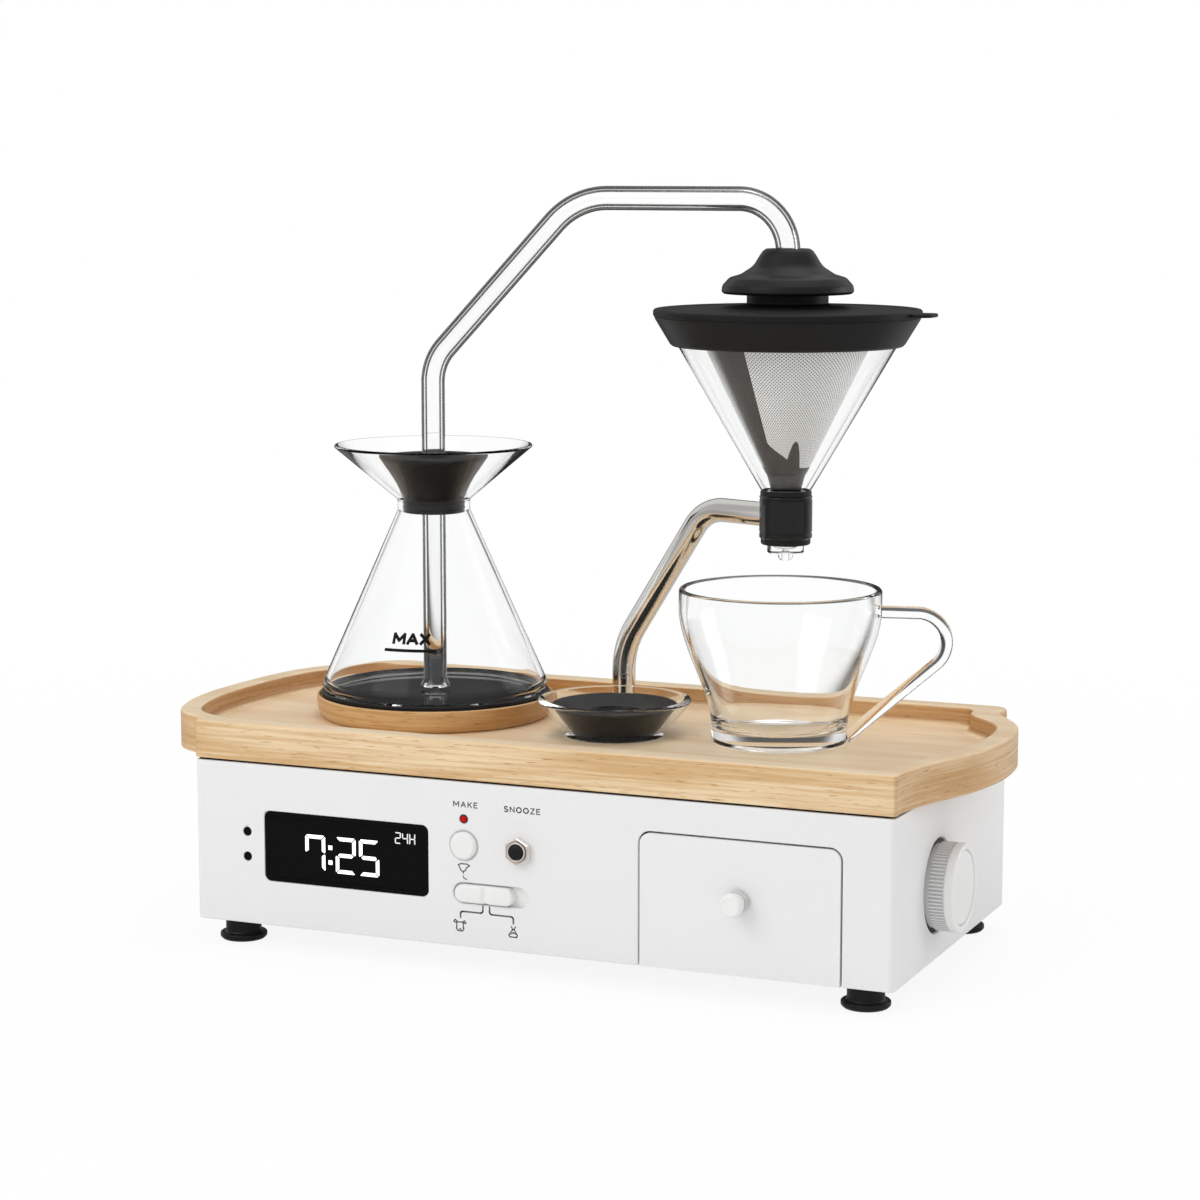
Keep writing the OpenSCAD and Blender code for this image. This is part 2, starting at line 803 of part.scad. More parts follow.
module tray_screws() {
    color("silver")
        tray_screw_places() {
            translate([0, 0, top_z - housing_wall - 1.6])
                cylinder(h = 1.6, r = screw_head_r);
            translate([0, 0, top_z - housing_wall - 0.5])
                cylinder(h = housing_wall + 5, r = screw_r - fit_run);
        }
}

// Front panel

module display_window() {
    color([0.05, 0.05, 0.05])
        behind_front(left_x + display_x, 0, under_z + display_z) {
            linear_extrude(housing_wall + 0.5)
                rounded_rect(display_w - 2 * fit_fixed, display_h - 2 * fit_fixed, display_r - fit_fixed);
            translate([0, 0, housing_wall])
                linear_extrude(window_flange_t)
                    rounded_rect(display_w + 2 * window_flange_w, display_h + 2 * window_flange_w, display_r);
        }
}

module display_module() {
    back = housing_wall + window_flange_t;
    color("darkgreen")
        behind_front(left_x + display_x, back, under_z + display_z) {
            translate([0, 0, module_t - board_t])
                linear_extrude(board_t)
                    rounded_rect(display_w + 2, display_h + 2, 1);
            translate([-display_w / 2 + 2, -display_h / 2 + 2, 0])
                cube([display_w - 4, display_h - 4, module_t - board_t / 2]);
        }
}

module sensor_windows() {
    color([0.05, 0.05, 0.05])
        for (s = [-1, 1])
            behind_front(left_x + sensor_x, 0, under_z + display_z + s * sensor_pitch / 2) {
                cylinder(h = housing_wall + 0.5, r = sensor_r);
                translate([0, 0, housing_wall])
                    cylinder(h = 1.5, r = sensor_r + 1);
            }
}

module status_led() {
    dome = 0.5;
    color("red")
        behind_front(left_x + start_x, -dome, under_z + start_z + led_rise)
            rotate_extrude()
                polygon([[0, 0], [led_r * 0.6, dome * 0.2], [led_r * 0.9, dome * 0.6], [led_r, dome],
                    [led_r, dome + housing_wall], [led_r + 0.8, dome + housing_wall],
                    [led_r + 0.8, dome + housing_wall + 1.5], [0, dome + housing_wall + 1.5]]);
}

module start_button() {
    edge = 1;
    back = start_reach + housing_wall + gap_move;
    color("white")
        behind_front(left_x + start_x, -start_reach, under_z + start_z)
            rotate_extrude()
                polygon([[0, 0], [start_r - edge, 0], [start_r - edge * 0.3, edge * 0.3], [start_r, edge],
                    [start_r, back], [start_r + start_flange, back],
                    [start_r + start_flange, back + start_flange_t], [0, back + start_flange_t]]);
}

module start_switch() {
    color([0.15, 0.15, 0.15])
        behind_front(left_x + start_x, switch_y, under_z + start_z) {
            cylinder(h = board_y - switch_y, r = 1.7);
            translate([-3, -3, 1])
                cube([6, 6, board_y - switch_y - 1]);
        }
}

module snooze_nut() {
    face_r = snooze_nut_w / 2;
    color("silver")
        behind_front(left_x + snooze_x, -snooze_nut_t, under_z + start_z)
            difference() {
                intersection() {
                    linear_extrude(snooze_nut_t)
                        rotate(90)
                            hexagon(snooze_nut_w);
                    cylinder(h = snooze_nut_t, r1 = face_r, r2 = face_r + 2 * snooze_nut_t);
                }
                translate([0, 0, -through])
                    cylinder(h = snooze_nut_t + 2 * through, r = snooze_barrel_r + fit_fixed);
            }
}

module snooze_barrel() {
    color("silver")
        behind_front(left_x + snooze_x, -snooze_nut_t - 0.4, under_z + start_z)
            difference() {
                union() {
                    cylinder(h = snooze_nut_t + 0.4 + housing_wall + 1, r = snooze_barrel_r);
                    translate([0, 0, snooze_nut_t + 0.4 + housing_wall])
                        cylinder(h = snooze_back_t, r = snooze_barrel_r + 1.5);
                }
                translate([0, 0, -through])
                    cylinder(h = through + snooze_nut_t + housing_wall + 3, r = snooze_button_r + fit_run);
            }
}

module snooze_button() {
    front = snooze_nut_t + 1.2;
    color([0.1, 0.1, 0.1])
        behind_front(left_x + snooze_x, -front, under_z + start_z)
            rotate_extrude()
                polygon([[0, 0], [snooze_button_r - 0.6, 0], [snooze_button_r, 0.5],
                    [snooze_button_r, front + housing_wall + 1], [0, front + housing_wall + 1]]);
}

module slide_cap() {
    h = slide_h - 2 * gap_move;
    back = slide_reach + housing_wall - gap_move;
    waist = 3;
    color("white")
        behind_front(left_x + slide_x - slide_travel / 2, -slide_reach, under_z + slide_z) {
            difference() {
                linear_extrude(back)
                    stadium(slide_cap_w, h);
                translate([-waist / 2, -slide_h / 2, -through])
                    cube([waist, slide_h, through + slide_reach / 2]);
            }
            translate([-slide_peg / 2, -slide_peg / 2, back - 0.5])
                cube([slide_peg, slide_peg, 0.5 + gap_move + slide_plate_t + 1]);
        }
}

module slide_switch() {
    peg_w = slide_peg + 2 * gap_move;
    body_w = 24;
    color("whitesmoke")
        behind_front(left_x + slide_x, housing_wall, under_z + slide_z)
            difference() {
                union() {
                    linear_extrude(slide_plate_t)
                        stadium(slide_w + 3, slide_h + 3);
                    translate([-body_w / 2, -slide_h / 2, slide_plate_t - 0.5])
                        cube([body_w, slide_h, board_y - housing_wall - slide_plate_t + 0.5]);
                }
                translate([-slide_travel / 2 - peg_w / 2, -peg_w / 2, -through])
                    cube([slide_travel + peg_w, peg_w, slide_plate_t + 2 * through + gap_move]);
            }
}

module control_board() {
    color("darkgreen")
        translate([left_x + board_x0, front_y + board_y, under_z + board_z0])
            cube([board_x1 - board_x0, board_t, board_z1 - board_z0]);
}

// Drawer

module drawer() {
    box_x = drawer_mid - drawer_box_w / 2;
    color("white") {
        difference() {
            union() {
                drawer_front_slice(-drawer_gap, housing_wall, housing_wall);
                translate([box_x, front_y + housing_wall - 0.5, drawer_floor])
                    cube([drawer_box_w, drawer_l + 0.5, drawer_box_h]);
            }
            translate([box_x + drawer_wall, front_y + housing_wall + drawer_wall, drawer_floor + drawer_wall])
                cube([drawer_box_w - 2 * drawer_wall, drawer_l - 2 * drawer_wall, drawer_box_h]);
            behind_front(drawer_mid, -through, under_z + drawer_knob_z)
                cylinder(h = housing_wall + drawer_wall + 2 * through, r = screw_r + fit_fixed);
        }
    }
}

module drawer_rails() {
    foot_w = 4;
    color("silver")
        for (s = [0, 1])
            translate([drawer_mid, inner_front + drawer_gap, base_top])
                mirror([s, 0, 0])
                    translate([drawer_box_w / 2 + gap_move, 0, 0]) {
                        cube([rail_t, drawer_l - 6, rail_h]);
                        cube([foot_w, drawer_l - 6, rail_t]);
                    }
}

module drawer_knob() {
    l = drawer_knob_l;
    r = drawer_knob_r;
    color("white")
        behind_front(drawer_mid, -l, under_z + drawer_knob_z)
            rotate_extrude()
                polygon([[0, 0], [r - 1, 0], [r - 0.3, 0.3], [r, 1], [r, 2], [r * 0.91, l * 0.45],
                    [r * 0.91, l - 2], [r, l - 1.2], [r, l - 0.3], [r - 0.3, l], [screw_r + fit_fixed, l],
                    [screw_r + fit_fixed, l - 6], [0, l - 6]]);
}

module drawer_knob_screw() {
    t = housing_wall + drawer_wall;
    color("silver")
        behind_front(drawer_mid, -5.5, under_z + drawer_knob_z) {
            cylinder(h = 5.5 + t + 0.5, r = screw_r);
            translate([0, 0, 5.5 + t])
                cylinder(h = 1.8, r = screw_head_r);
        }
}

// Rotary knob

module rotary_knob() {
    back = -knob_recess + gap_move;
    l = knob_reach - back;
    rib = 0.35;
    rib_top = knob_r - 0.1;
    band_z = 2.4;
    band_end = l - 2.2;
    skirt_r = knob_r - 0.9;
    hub_r = bush_r + 2.4;
    color("white")
        beside_right(back)
            difference() {
                union() {
                    rotate_extrude()
                        polygon([[0, 0], [skirt_r, 0], [skirt_r, band_end - 0.2], [knob_r, band_end - 0.2],
                            [knob_r, l - 0.8], [knob_r - 0.8, l], [0, l]]);
                    translate([0, 0, band_z])
                        linear_extrude(band_end - band_z) {
                            circle(rib_top - rib);
                            for (i = [0:knob_ribs - 1])
                                rotate(360 * i / knob_ribs)
                                    translate([rib_top - 2 * rib, -rib])
                                        square(2 * rib);
                        }
                }
                translate([0, 0, l - 1.5])
                    cylinder(h = 1.5 + through, r = knob_r - knob_rim);
                translate([0, 0, -through])
                    cylinder(h = through + 5, r = hub_r);
                translate([0, 0, -through])
                    cylinder(h = through + l - 3, r = shaft_r + fit_fixed / 2);
            }
}

module knob_face() {
    color("whitesmoke")
        beside_right(knob_reach - 1.5)
            rotate_extrude()
                polygon([[0, 0], [knob_r - knob_rim - gap_move, 0], [knob_r - knob_rim - gap_move, 0.7],
                    [knob_r - knob_rim - gap_move - 0.4, 1.1], [0, 1.1]]);
}

module knob_shaft() {
    color("silver")
        beside_right(-housing_wall - encoder_t + 1)
            cylinder(h = housing_wall + encoder_t - 1 + knob_reach - 3.2, r = shaft_r);
}

module encoder() {
    bush_l = housing_wall - knob_recess + gap_move + 3.5;
    color("dimgray")
        beside_right(-housing_wall - encoder_t)
            difference() {
                union() {
                    translate([-encoder_w / 2, -encoder_w / 2, 0])
                        cube([encoder_w, encoder_w, encoder_t]);
                    translate([0, 0, encoder_t - 0.5])
                        cylinder(h = bush_l + 0.5, r = bush_r);
                }
                translate([0, 0, 1 - gap_move])
                    cylinder(h = encoder_t + bush_l + through, r = shaft_r + fit_run);
            }
}

// Power and sound

module power_inlet() {
    flange = 3;
    flange_t = 1.4;
    depth = 20;
    pin_r = 1.1;
    color([0.08, 0.08, 0.08])
        translate([inlet_x, front_y + housing_d + flange_t, inlet_z])
            rotate([90, 0, 0]) {
                difference() {
                    union() {
                        linear_extrude(flange_t)
                            rounded_rect(inlet_w + 2 * flange, inlet_h + 2 * flange, 2);
                        translate([-inlet_w / 2, -inlet_h / 2, flange_t - 0.5])
                            cube([inlet_w, inlet_h, depth + 0.5]);
                    }
                    translate([0, 0, -through])
                        linear_extrude(through + 15)
                            stadium(17, 8.6);
                }
                for (s = [-1, 1])
                    translate([s * 4.3, 0, 4])
                        cylinder(h = 11.5, r = pin_r);
            }
}

module power_board() {
    z = base_top + power_post;
    color("darkgreen")
        translate([power_x, power_y, z]) {
            translate([-power_w / 2, -power_d / 2, 0])
                cube([power_w, power_d, board_t]);
            translate([-30, -22, board_t - 0.5])
                cube([34, 30, 22]);
            translate([20, 4, board_t - 0.5])
                cylinder(h = 20, r = 8);
            translate([10, -30, board_t - 0.5])
                cube([20, 4, 18]);
        }
}

module speaker() {
    color([0.12, 0.12, 0.12])
        translate([speaker_x, inner_back, speaker_z])
            rotate([90, 0, 0])
                difference() {
                    rotate_extrude()
                        polygon([[0, 0], [speaker_r, 0], [speaker_r, 2], [speaker_r - 1.5, 2],
                            [magnet_r, speaker_cone_l], [magnet_r, speaker_l], [0, speaker_l]]);
                    translate([0, 0, -through])
                        cylinder(h = through + 1.5, r = speaker_r - 2.5);
                }
}

// Heater and coaster

module coaster() {
    inner = heater_r + fit_fixed;
    steps = 8;
    color("burlywood")
        translate([flask_ax, brew_ay, floor_z])
            rotate_extrude()
                polygon(concat([[inner, 0], [coaster_foot_r, 0]],
                    [for (i = [1:steps])
                        [coaster_foot_r + (coaster_r - coaster_foot_r) * sin(90 * i / steps),
                            coaster_t * 0.85 * (1 - cos(90 * i / steps))]],
                    [[coaster_r, coaster_t - 0.5], [coaster_r - 0.5, coaster_t], [inner, coaster_t]]));
}

module heater_plate() {
    z = floor_z + heater_seat;
    edge = 0.6;
    color([0.06, 0.06, 0.06])
        translate([flask_ax, brew_ay, z])
            rotate_extrude()
                polygon([[0, 0], [heater_r, 0], [heater_r, coaster_t - heater_seat - edge],
                    [heater_r - edge, coaster_t - heater_seat], [0, coaster_t - heater_seat]]);
}

module heater_pan() {
    wall = 1.5;
    bottom = top_z - heater_drop;
    color([0.2, 0.2, 0.2])
        translate([flask_ax, brew_ay, 0])
            rotate_extrude()
                polygon([[0, bottom], [heater_pan_r, bottom], [heater_pan_r, floor_z], [heater_r, floor_z],
                    [heater_r, floor_z + heater_seat], [heater_pan_r - wall, floor_z + heater_seat],
                    [heater_pan_r - wall, bottom + wall], [0, bottom + wall]]);
}

module induction_coil() {
    turns = 9;
    inner = 11;
    outer = heater_pan_r - 4;
    pitch = (outer - inner) / turns;
    bottom = top_z - heater_drop + 1.5;
    color("peru")
        translate([flask_ax, brew_ay, bottom])
            rotate_extrude()
                polygon(concat([[inner, 0], [outer, 0]],
                    [for (i = [turns:-1:1], side = [1, 0])
                        [inner + pitch * (i - 1) + pitch * (side == 1 ? 0.95 : 0.5), side == 1 ? 2.2 : 3.2]],
                    [[inner, 2.2]]));
}

// Flask and riser

flask_toe = 5.5;
flask_heel = 1.8;
flask_heel_r = flask_base_r - 0.9;
flask_floor_r = flask_base_r - 3;

module flask() {
    t = glass_t;
    color([0.85, 0.92, 0.95, 0.35])
        translate([flask_ax, brew_ay, flask_z])
            rotate_extrude()
                polygon([[0, 0], [flask_floor_r, 0], [flask_heel_r, flask_heel], [flask_base_r, flask_toe],
                    [flask_neck_r, flask_neck_z], [flask_neck_r, flask_neck_z + flask_neck_h],
                    [flask_rim_r, flask_h - 0.8], [flask_rim_r - 0.4, flask_h],
                    [flask_rim_r - t, flask_h], [flask_neck_r - t, flask_neck_z + flask_neck_h + 0.7],
                    [flask_neck_r - t, flask_neck_z], [flask_base_r - t - 0.4, flask_toe + 0.6],
                    [flask_base_r - 5, t + 0.6], [0, t]]);
}

module flask_base_ring() {
    gap = fit_fixed;
    out = flask_base_r + 0.7;
    toe_slope = (flask_base_r - flask_heel_r) / (flask_toe - flask_heel);
    top_r = flask_heel_r + (base_ring_h - flask_heel) * toe_slope;
    color([0.08, 0.08, 0.08])
        translate([flask_ax, brew_ay, flask_z])
            rotate_extrude()
                polygon([[flask_floor_r + gap, 0], [out - 0.8, 0], [out, 1], [out, base_ring_h - 0.5],
                    [out - 0.5, base_ring_h], [top_r + gap, base_ring_h], [flask_heel_r + gap, flask_heel]]);
}

plug_r = flask_neck_r - glass_t - gap_move;
plug_z = neck_z - 1;
seal_t = 0.9;
seal_r = flask_neck_r - glass_t - fit_run - seal_t;

module flask_stopper() {
    steps = 6;
    top = neck_top + stopper_h;
    foot_r = plug_r + 0.6;
    color([0.1, 0.1, 0.1])
        translate([flask_ax, brew_ay, 0])
            difference() {
                rotate_extrude()
                    polygon(concat([[riser_r + fit_fixed, plug_z], [plug_r - 0.5, plug_z],
                        [plug_r, plug_z + 0.5], [plug_r, neck_top + 0.6], [foot_r, neck_top + 1.6]],
                        [for (i = [1:steps])
                            [foot_r + (stopper_r - foot_r) * (1 - cos(90 * i / steps)) * 0.55
                                + (stopper_r - foot_r) * 0.45 * i / steps,
                                neck_top + 1.6 + (stopper_h - 3.1) * i / steps]],
                        [[stopper_r, top - 0.6], [stopper_r - 0.6, top], [riser_r + fit_fixed, top]]));
                for (z = stopper_ring_levels)
                    translate([0, 0, z])
                        rotate_extrude()
                            translate([seal_r, 0])
                                circle(seal_t + 0.02, $fn = 32);
            }
}

stopper_ring_levels = [neck_z + 1.2, neck_top - 0.9];

module stopper_rings() {
    color([0.05, 0.05, 0.05])
        for (z = stopper_ring_levels)
            translate([flask_ax, brew_ay, z])
                rotate_extrude()
                    translate([seal_r, 0])
                        circle(seal_t, $fn = 32);
}

riser_foot_z = flask_z + glass_t + 1.2;
riser_end_z = cap_z + cap_neck_h + 3;
riser_turn = 90 - riser_slope;
riser_low_cut = riser_low_bend * tan(riser_turn / 2);
riser_high_cut = riser_high_bend * tan(riser_slope / 2);
riser_rise = riser_top_h - riser_elbow_h;
riser_span = drip_ax - flask_ax;
riser_steps = [
    [floor_z + riser_elbow_h - riser_foot_z - riser_low_cut, riser_turn, riser_low_bend],
    [riser_rise / sin(riser_slope) - riser_low_cut - riser_high_cut, riser_slope, riser_high_bend],
    [riser_span - riser_rise / tan(riser_slope) - riser_high_cut - riser_end_bend, 90, riser_end_bend],
    [floor_z + riser_top_h - riser_end_bend - riser_end_z, 0, 0]];

module riser_tube() {
    foot_h = 3.5;
    color([0.85, 0.92, 0.95, 0.35])
        translate([flask_ax, brew_ay, riser_foot_z])
            difference() {
                union() {
                    bent_tube(riser_steps, riser_r, riser_bore_r);
                    difference() {
                        cylinder(h = foot_h, r1 = riser_r + 2.2, r2 = riser_r);
                        translate([0, 0, -through])
                            cylinder(h = foot_h + 2 * through, r = riser_bore_r);
                    }
                }
                translate([0, 0, -through])
                    cylinder(h = through + 1.4, r1 = riser_bore_r + 2.5, r2 = riser_bore_r);
            }
}

module dispenser_cap() {
    brim_t = 3.6;
    plug_l = 3.4;
    steps = 8;
    base = cap_neck_h;
    color([0.1, 0.1, 0.1])
        translate([drip_ax, brew_ay, cap_z])
            difference() {
                rotate_extrude()
                    polygon(concat([[0, -plug_l], [cap_plug_r, -plug_l], [cap_plug_r, 0], [cap_neck_r, 0],
                        [cap_neck_r, base], [cap_r - 0.6, base], [cap_r, base + 0.8],
                        [cap_r - 0.3, base + brim_t]],
                        [for (i = [0:steps])
                            let (a = 90 * i / steps)
                            [cap_top_r + 0.8 + (cap_r - cap_top_r - 3.4) * (1 - sin(a)),
                                base + brim_t + 1.8 + (cap_h - brim_t - 3.4) * (1 - cos(a))]],
                        [[cap_top_r, base + cap_h - 0.6], [cap_top_r - 0.8, base + cap_h],
                            [0, base + cap_h]]));
                translate([0, 0, riser_end_z - cap_z - 0.2])
                    cylinder(h = cap_h + cap_neck_h, r = riser_r + fit_fixed);
                translate([0, 0, -plug_l - through])
                    cylinder(h = plug_l + cap_h, r = riser_bore_r);
            }
}

cap_plug_r = 12;

// Dripper

module support_arm() {
    reach = norm([drip_ax - arm_ax, brew_ay - arm_ay]) - collar_r + 1.3;
    turn = 90 - arm_slope;
    rise = collar_z + collar_h / 2 - floor_z - arm_elbow_h;
    low_cut = arm_low_bend * tan(turn / 2);
    high_cut = arm_high_bend * tan(arm_slope / 2);
    foot = top_z - housing_wall - arm_nut_t - 4;
    color("silver")
        translate([arm_ax, arm_ay, foot])
            rotate(atan2(brew_ay - arm_ay, drip_ax - arm_ax))
                bent_tube([[floor_z + arm_elbow_h - foot - low_cut, turn, arm_low_bend],
                    [rise / sin(arm_slope) - low_cut - high_cut, arm_slope, arm_high_bend],
                    [reach - rise / tan(arm_slope) - high_cut, 0, 0]], arm_r, arm_r - arm_wall);
}

module arm_nut() {
    color("silver")
        translate([arm_ax, arm_ay, top_z - housing_wall - arm_nut_t])
            difference() {
                linear_extrude(arm_nut_t)
                    hexagon(arm_nut_w);
                translate([0, 0, -through])
                    cylinder(h = arm_nut_t + 2 * through, r = arm_r + fit_fixed);
            }
}

module collar() {
    edge = 0.5;
    color([0.04, 0.04, 0.04])
        translate([drip_ax, brew_ay, collar_z])
            difference() {
                rotate_extrude()
                    polygon([[collar_r - collar_wall, 0], [collar_r - edge, 0], [collar_r, edge],
                        [collar_r, collar_h - edge], [collar_r - edge, collar_h],
                        [collar_r - collar_wall, collar_h]]);
                rotate(atan2(arm_ay - brew_ay, arm_ax - drip_ax))
                    translate([0, 0, collar_h / 2])
                        rotate([0, 90, 0])
                            cylinder(h = collar_r + through, r = arm_r + fit_fixed);
            }
}

module cone_gasket() {
    bead_r = collar_r - 0.3;
    lip_r = collar_r - 0.6;
    in_r = stem_r + fit_fixed;
    color([0.06, 0.06, 0.06])
        translate([drip_ax, brew_ay, 0])
            rotate_extrude()
                polygon([[in_r, collar_z - gasket_lip], [lip_r - 0.5, collar_z - gasket_lip],
                    [lip_r, collar_z - gasket_lip + 0.5], [lip_r, collar_z], [gasket_r, collar_z],
                    [gasket_r, collar_top], [bead_r, collar_top], [bead_r, collar_top + gasket_bead - 0.6],
                    [bead_r - 0.6, collar_top + gasket_bead], [in_r, collar_top + gasket_bead]]);
}

function cone_out_r(z) = cone_seat_r + (z - cone_z) * cone_slope;
cone_wall_r = glass_t * sqrt(1 + cone_slope * cone_slope);
bore_r = 4.5;

module dripper_cone() {
    spout_z = collar_z - spout_l;
    tip_z = spout_z - drip_tip;
    tip_r = 2.8;
    drip_r = 1.3;
    color([0.85, 0.92, 0.95, 0.35])
        translate([drip_ax, brew_ay, 0])
            rotate_extrude()
                polygon([[drip_r, tip_z], [tip_r - 0.8, tip_z], [tip_r, tip_z + 1], [tip_r + 0.6, spout_z],
                    [stem_r - 0.6, spout_z], [stem_r, spout_z + 0.6], [stem_r, cone_z], [cone_seat_r, cone_z],
                    [cone_r, cone_rim_z - 0.3], [cone_r - 0.4, cone_rim_z],
                    [cone_r - cone_wall_r, cone_rim_z],
                    [bore_r, cone_z - (cone_seat_r - cone_wall_r - bore_r) / cone_slope],
                    [bore_r, spout_z + 2.4], [drip_r, spout_z + 1.2]]);
}

module filter_ring() {
    bottom = cone_rim_z - ring_skirt;
    skirt_in = cone_out_r(bottom) + gap_move;
    color([0.1, 0.1, 0.1])
        translate([drip_ax, brew_ay, 0])
            rotate_extrude()
                polygon([[skirt_in, bottom], [skirt_in + ring_wall - 0.6, bottom],
                    [skirt_in + ring_wall, bottom + 0.6], [ring_r, ring_top],
                    [mesh_r - mesh_t - 1, ring_top], [mesh_r - mesh_t - 1, cone_rim_z],
                    [cone_r + gap_move, cone_rim_z]]);
}

mesh_foot_z = cone_z + 7;

module mesh_filter() {
    tip_r = 6.2;
    tip_z = cone_z + 0.6;
    color("darkgray")
        translate([drip_ax, brew_ay, 0])
            rotate_extrude()
                polygon([[0, tip_z], [tip_r - 0.6, tip_z], [tip_r, tip_z + 0.6],
                    [mesh_foot_r - 0.6, mesh_foot_z - 0.6], [mesh_foot_r, mesh_foot_z],
                    [mesh_r, cone_rim_z], [mesh_r - mesh_t, cone_rim_z],
                    [mesh_foot_r - mesh_t, mesh_foot_z], [tip_r - mesh_t, tip_z + 1.2],
                    [0, tip_z + mesh_t]]);
}

module filter_lid() {
    r = ring_r + lid_over;
    boss_r = cap_neck_r + 1;
    color([0.1, 0.1, 0.1])
        translate([drip_ax, brew_ay, 0]) {
            rotate_extrude()
                polygon([[cap_plug_r + gap_move, ring_top], [r - 0.5, ring_top], [r, ring_top + 0.6],
                    [r, ring_top + lid_t - 0.6], [r - 0.6, ring_top + lid_t], [r - 2.6, ring_top + lid_t],
                    [r - 3.2, ring_top + lid_t - 0.6], [boss_r, lid_top - 0.4], [boss_r - 0.6, lid_top],
                    [cap_plug_r + gap_move, lid_top]]);
            translate([0, 0, ring_top + 0.8])
                linear_extrude(1.4) {
                    translate([r - 2, -tab_w / 2])
                        square([2 + tab_l - 4, tab_w]);
                    translate([r - 2, -tab_w / 2 + 4])
                        square([2 + tab_l, tab_w - 8]);
                    for (s = [-1, 1])
                        translate([r + tab_l - 4, s * (tab_w / 2 - 4)])
                            circle(4);
                }
        }
}

// Cup

cup_ax = drip_ax + cup_shift_x;
cup_ay = brew_ay + cup_shift_y;
cup_z = floor_z + gap_rest;
cup_swell_from = 5;
cup_swell_to = 54;
cup_wall = 2.4;

function swell(t) = t <= 0 ? 0 : t >= 1 ? 1 : t * t * (3 - 2 * t);
function cup_out_r(z) = cup_foot_r
    + (cup_rim_r - cup_foot_r) * swell((z - cup_swell_from) / (cup_swell_to - cup_swell_from));

module cup() {
    steps = 12;
    levels = [for (i = [0:steps]) cup_swell_from + (cup_swell_to - cup_swell_from) * i / steps];
    inner_levels = [for (z = levels) if (z > cup_floor + 3) z];
    floor_r = cup_foot_r - 6;
    color([0.85, 0.92, 0.95, 0.35])
        translate([cup_ax, cup_ay, cup_z])
            union() {
                rotate_extrude()
                    polygon(concat([[0, 1.2], [cup_foot_r - 5, 1.2], [cup_foot_r - 4, 0],
                        [cup_foot_r - 0.6, 0], [cup_foot_r, 0.6]],
                        [for (z = levels) [cup_out_r(z), z]],
                        [[cup_rim_r, cup_h - 0.8], [cup_rim_r - 0.8, cup_h],
                            [cup_rim_r - cup_wall + 0.5, cup_h], [cup_rim_r - cup_wall, cup_h - 0.8]],
                        [for (i = [len(inner_levels) - 1:-1:0])
                            [cup_out_r(inner_levels[i]) - cup_wall, inner_levels[i]]],
                        [[floor_r, cup_floor], [0, cup_floor]]));
                rotate(handle_angle)
                    cup_handle();
            }
}

// The glass rod that leaves the cup under its rim, bends back and meets the foot
module cup_handle() {
    start = cup_out_r(handle_z) - cup_wall / 2;
    run = handle_reach + cup_wall / 2;
    foot_x = cup_foot_r - 0.5;
    to_foot = [start + run - foot_x, handle_z - handle_bend - handle_foot_z];
    last = sqrt(to_foot * to_foot - handle_bend * handle_bend);
    turn = 180 + atan2(to_foot[0], to_foot[1]) - atan2(last, handle_bend);
    translate([start, 0, handle_z])
        rotate([0, 90, 0])
            bent_run([[run, turn, handle_bend], [last, 0, 0]], handle_r);
}

// Milk vessel and cooler

vessel_lip = 0.8;
vessel_step = 0.6;
vessel_slope = (vessel_rim_r - vessel_seat_r) / (vessel_rim_h - vessel_lip - vessel_step);
vessel_mouth_r = vessel_rim_r - vessel_wall * sqrt(1 + vessel_slope * vessel_slope);

function dish_in_r(z) = vessel_mouth_r - (vessel_rim_h - vessel_lip - z) * vessel_slope;

module milk_vessel() {
    z = floor_z + gap_rest;
    bore = vessel_r - glass_t;
    bottom = floor_z - vessel_d;
    throat_z = z + vessel_rim_h - vessel_lip - (vessel_mouth_r - bore) / vessel_slope;
    color([0.85, 0.92, 0.95, 0.35])
        translate([vessel_ax, vessel_ay, 0])
            rotate_extrude()
                polygon([[0, bottom], [vessel_r - 3, bottom], [vessel_r - 0.9, bottom + 0.9],
                    [vessel_r, bottom + 3], [vessel_r, z], [vessel_seat_r, z],
                    [vessel_seat_r, z + vessel_step],
                    [vessel_rim_r, z + vessel_rim_h - vessel_lip], [vessel_rim_r - 0.6, z + vessel_rim_h],
                    [vessel_mouth_r + 0.6, z + vessel_rim_h], [vessel_mouth_r, z + vessel_rim_h - vessel_lip],
                    [bore, throat_z], [bore, bottom + glass_t + 1.4], [bore - 1.4, bottom + glass_t],
                    [0, bottom + glass_t]]);
}

module milk_stopper() {
    top = vessel_rim_h - 2.2;
    low = 2.2;
    dish_r = 13.6;
    dish_z = top - 3.8;
    function side_r(z) = dish_in_r(z) - gap_rest;
    color([0.08, 0.08, 0.08])
        translate([vessel_ax, vessel_ay, floor_z + gap_rest])
            rotate_extrude()
                polygon([[0, low], [side_r(low) - 0.6, low], [side_r(low + 0.6), low + 0.6],
                    [side_r(top - 0.6), top - 0.6], [side_r(top - 0.6) - 0.5, top], [side_r(top) - 2.8, top],
                    [dish_r, dish_z], [dish_r - 0.5, dish_z + 0.6],
                    [dish_r - 2, dish_z + 0.6], [dish_r - 2.6, dish_z - 0.6], [0, dish_z - 0.6]]);
}

module cooling_well() {
    flange_t = 2;
    color("silver")
        translate([vessel_ax, vessel_ay, 0])
            rotate_extrude()
                polygon([[0, well_z], [well_r, well_z], [well_r, top_z - flange_t],
                    [well_flange_r, top_z - flange_t], [well_flange_r, top_z], [well_r, top_z],
                    [well_r, floor_z], [well_r - well_wall, floor_z],
                    [well_r - well_wall, well_z + well_wall], [0, well_z + well_wall]]);
}

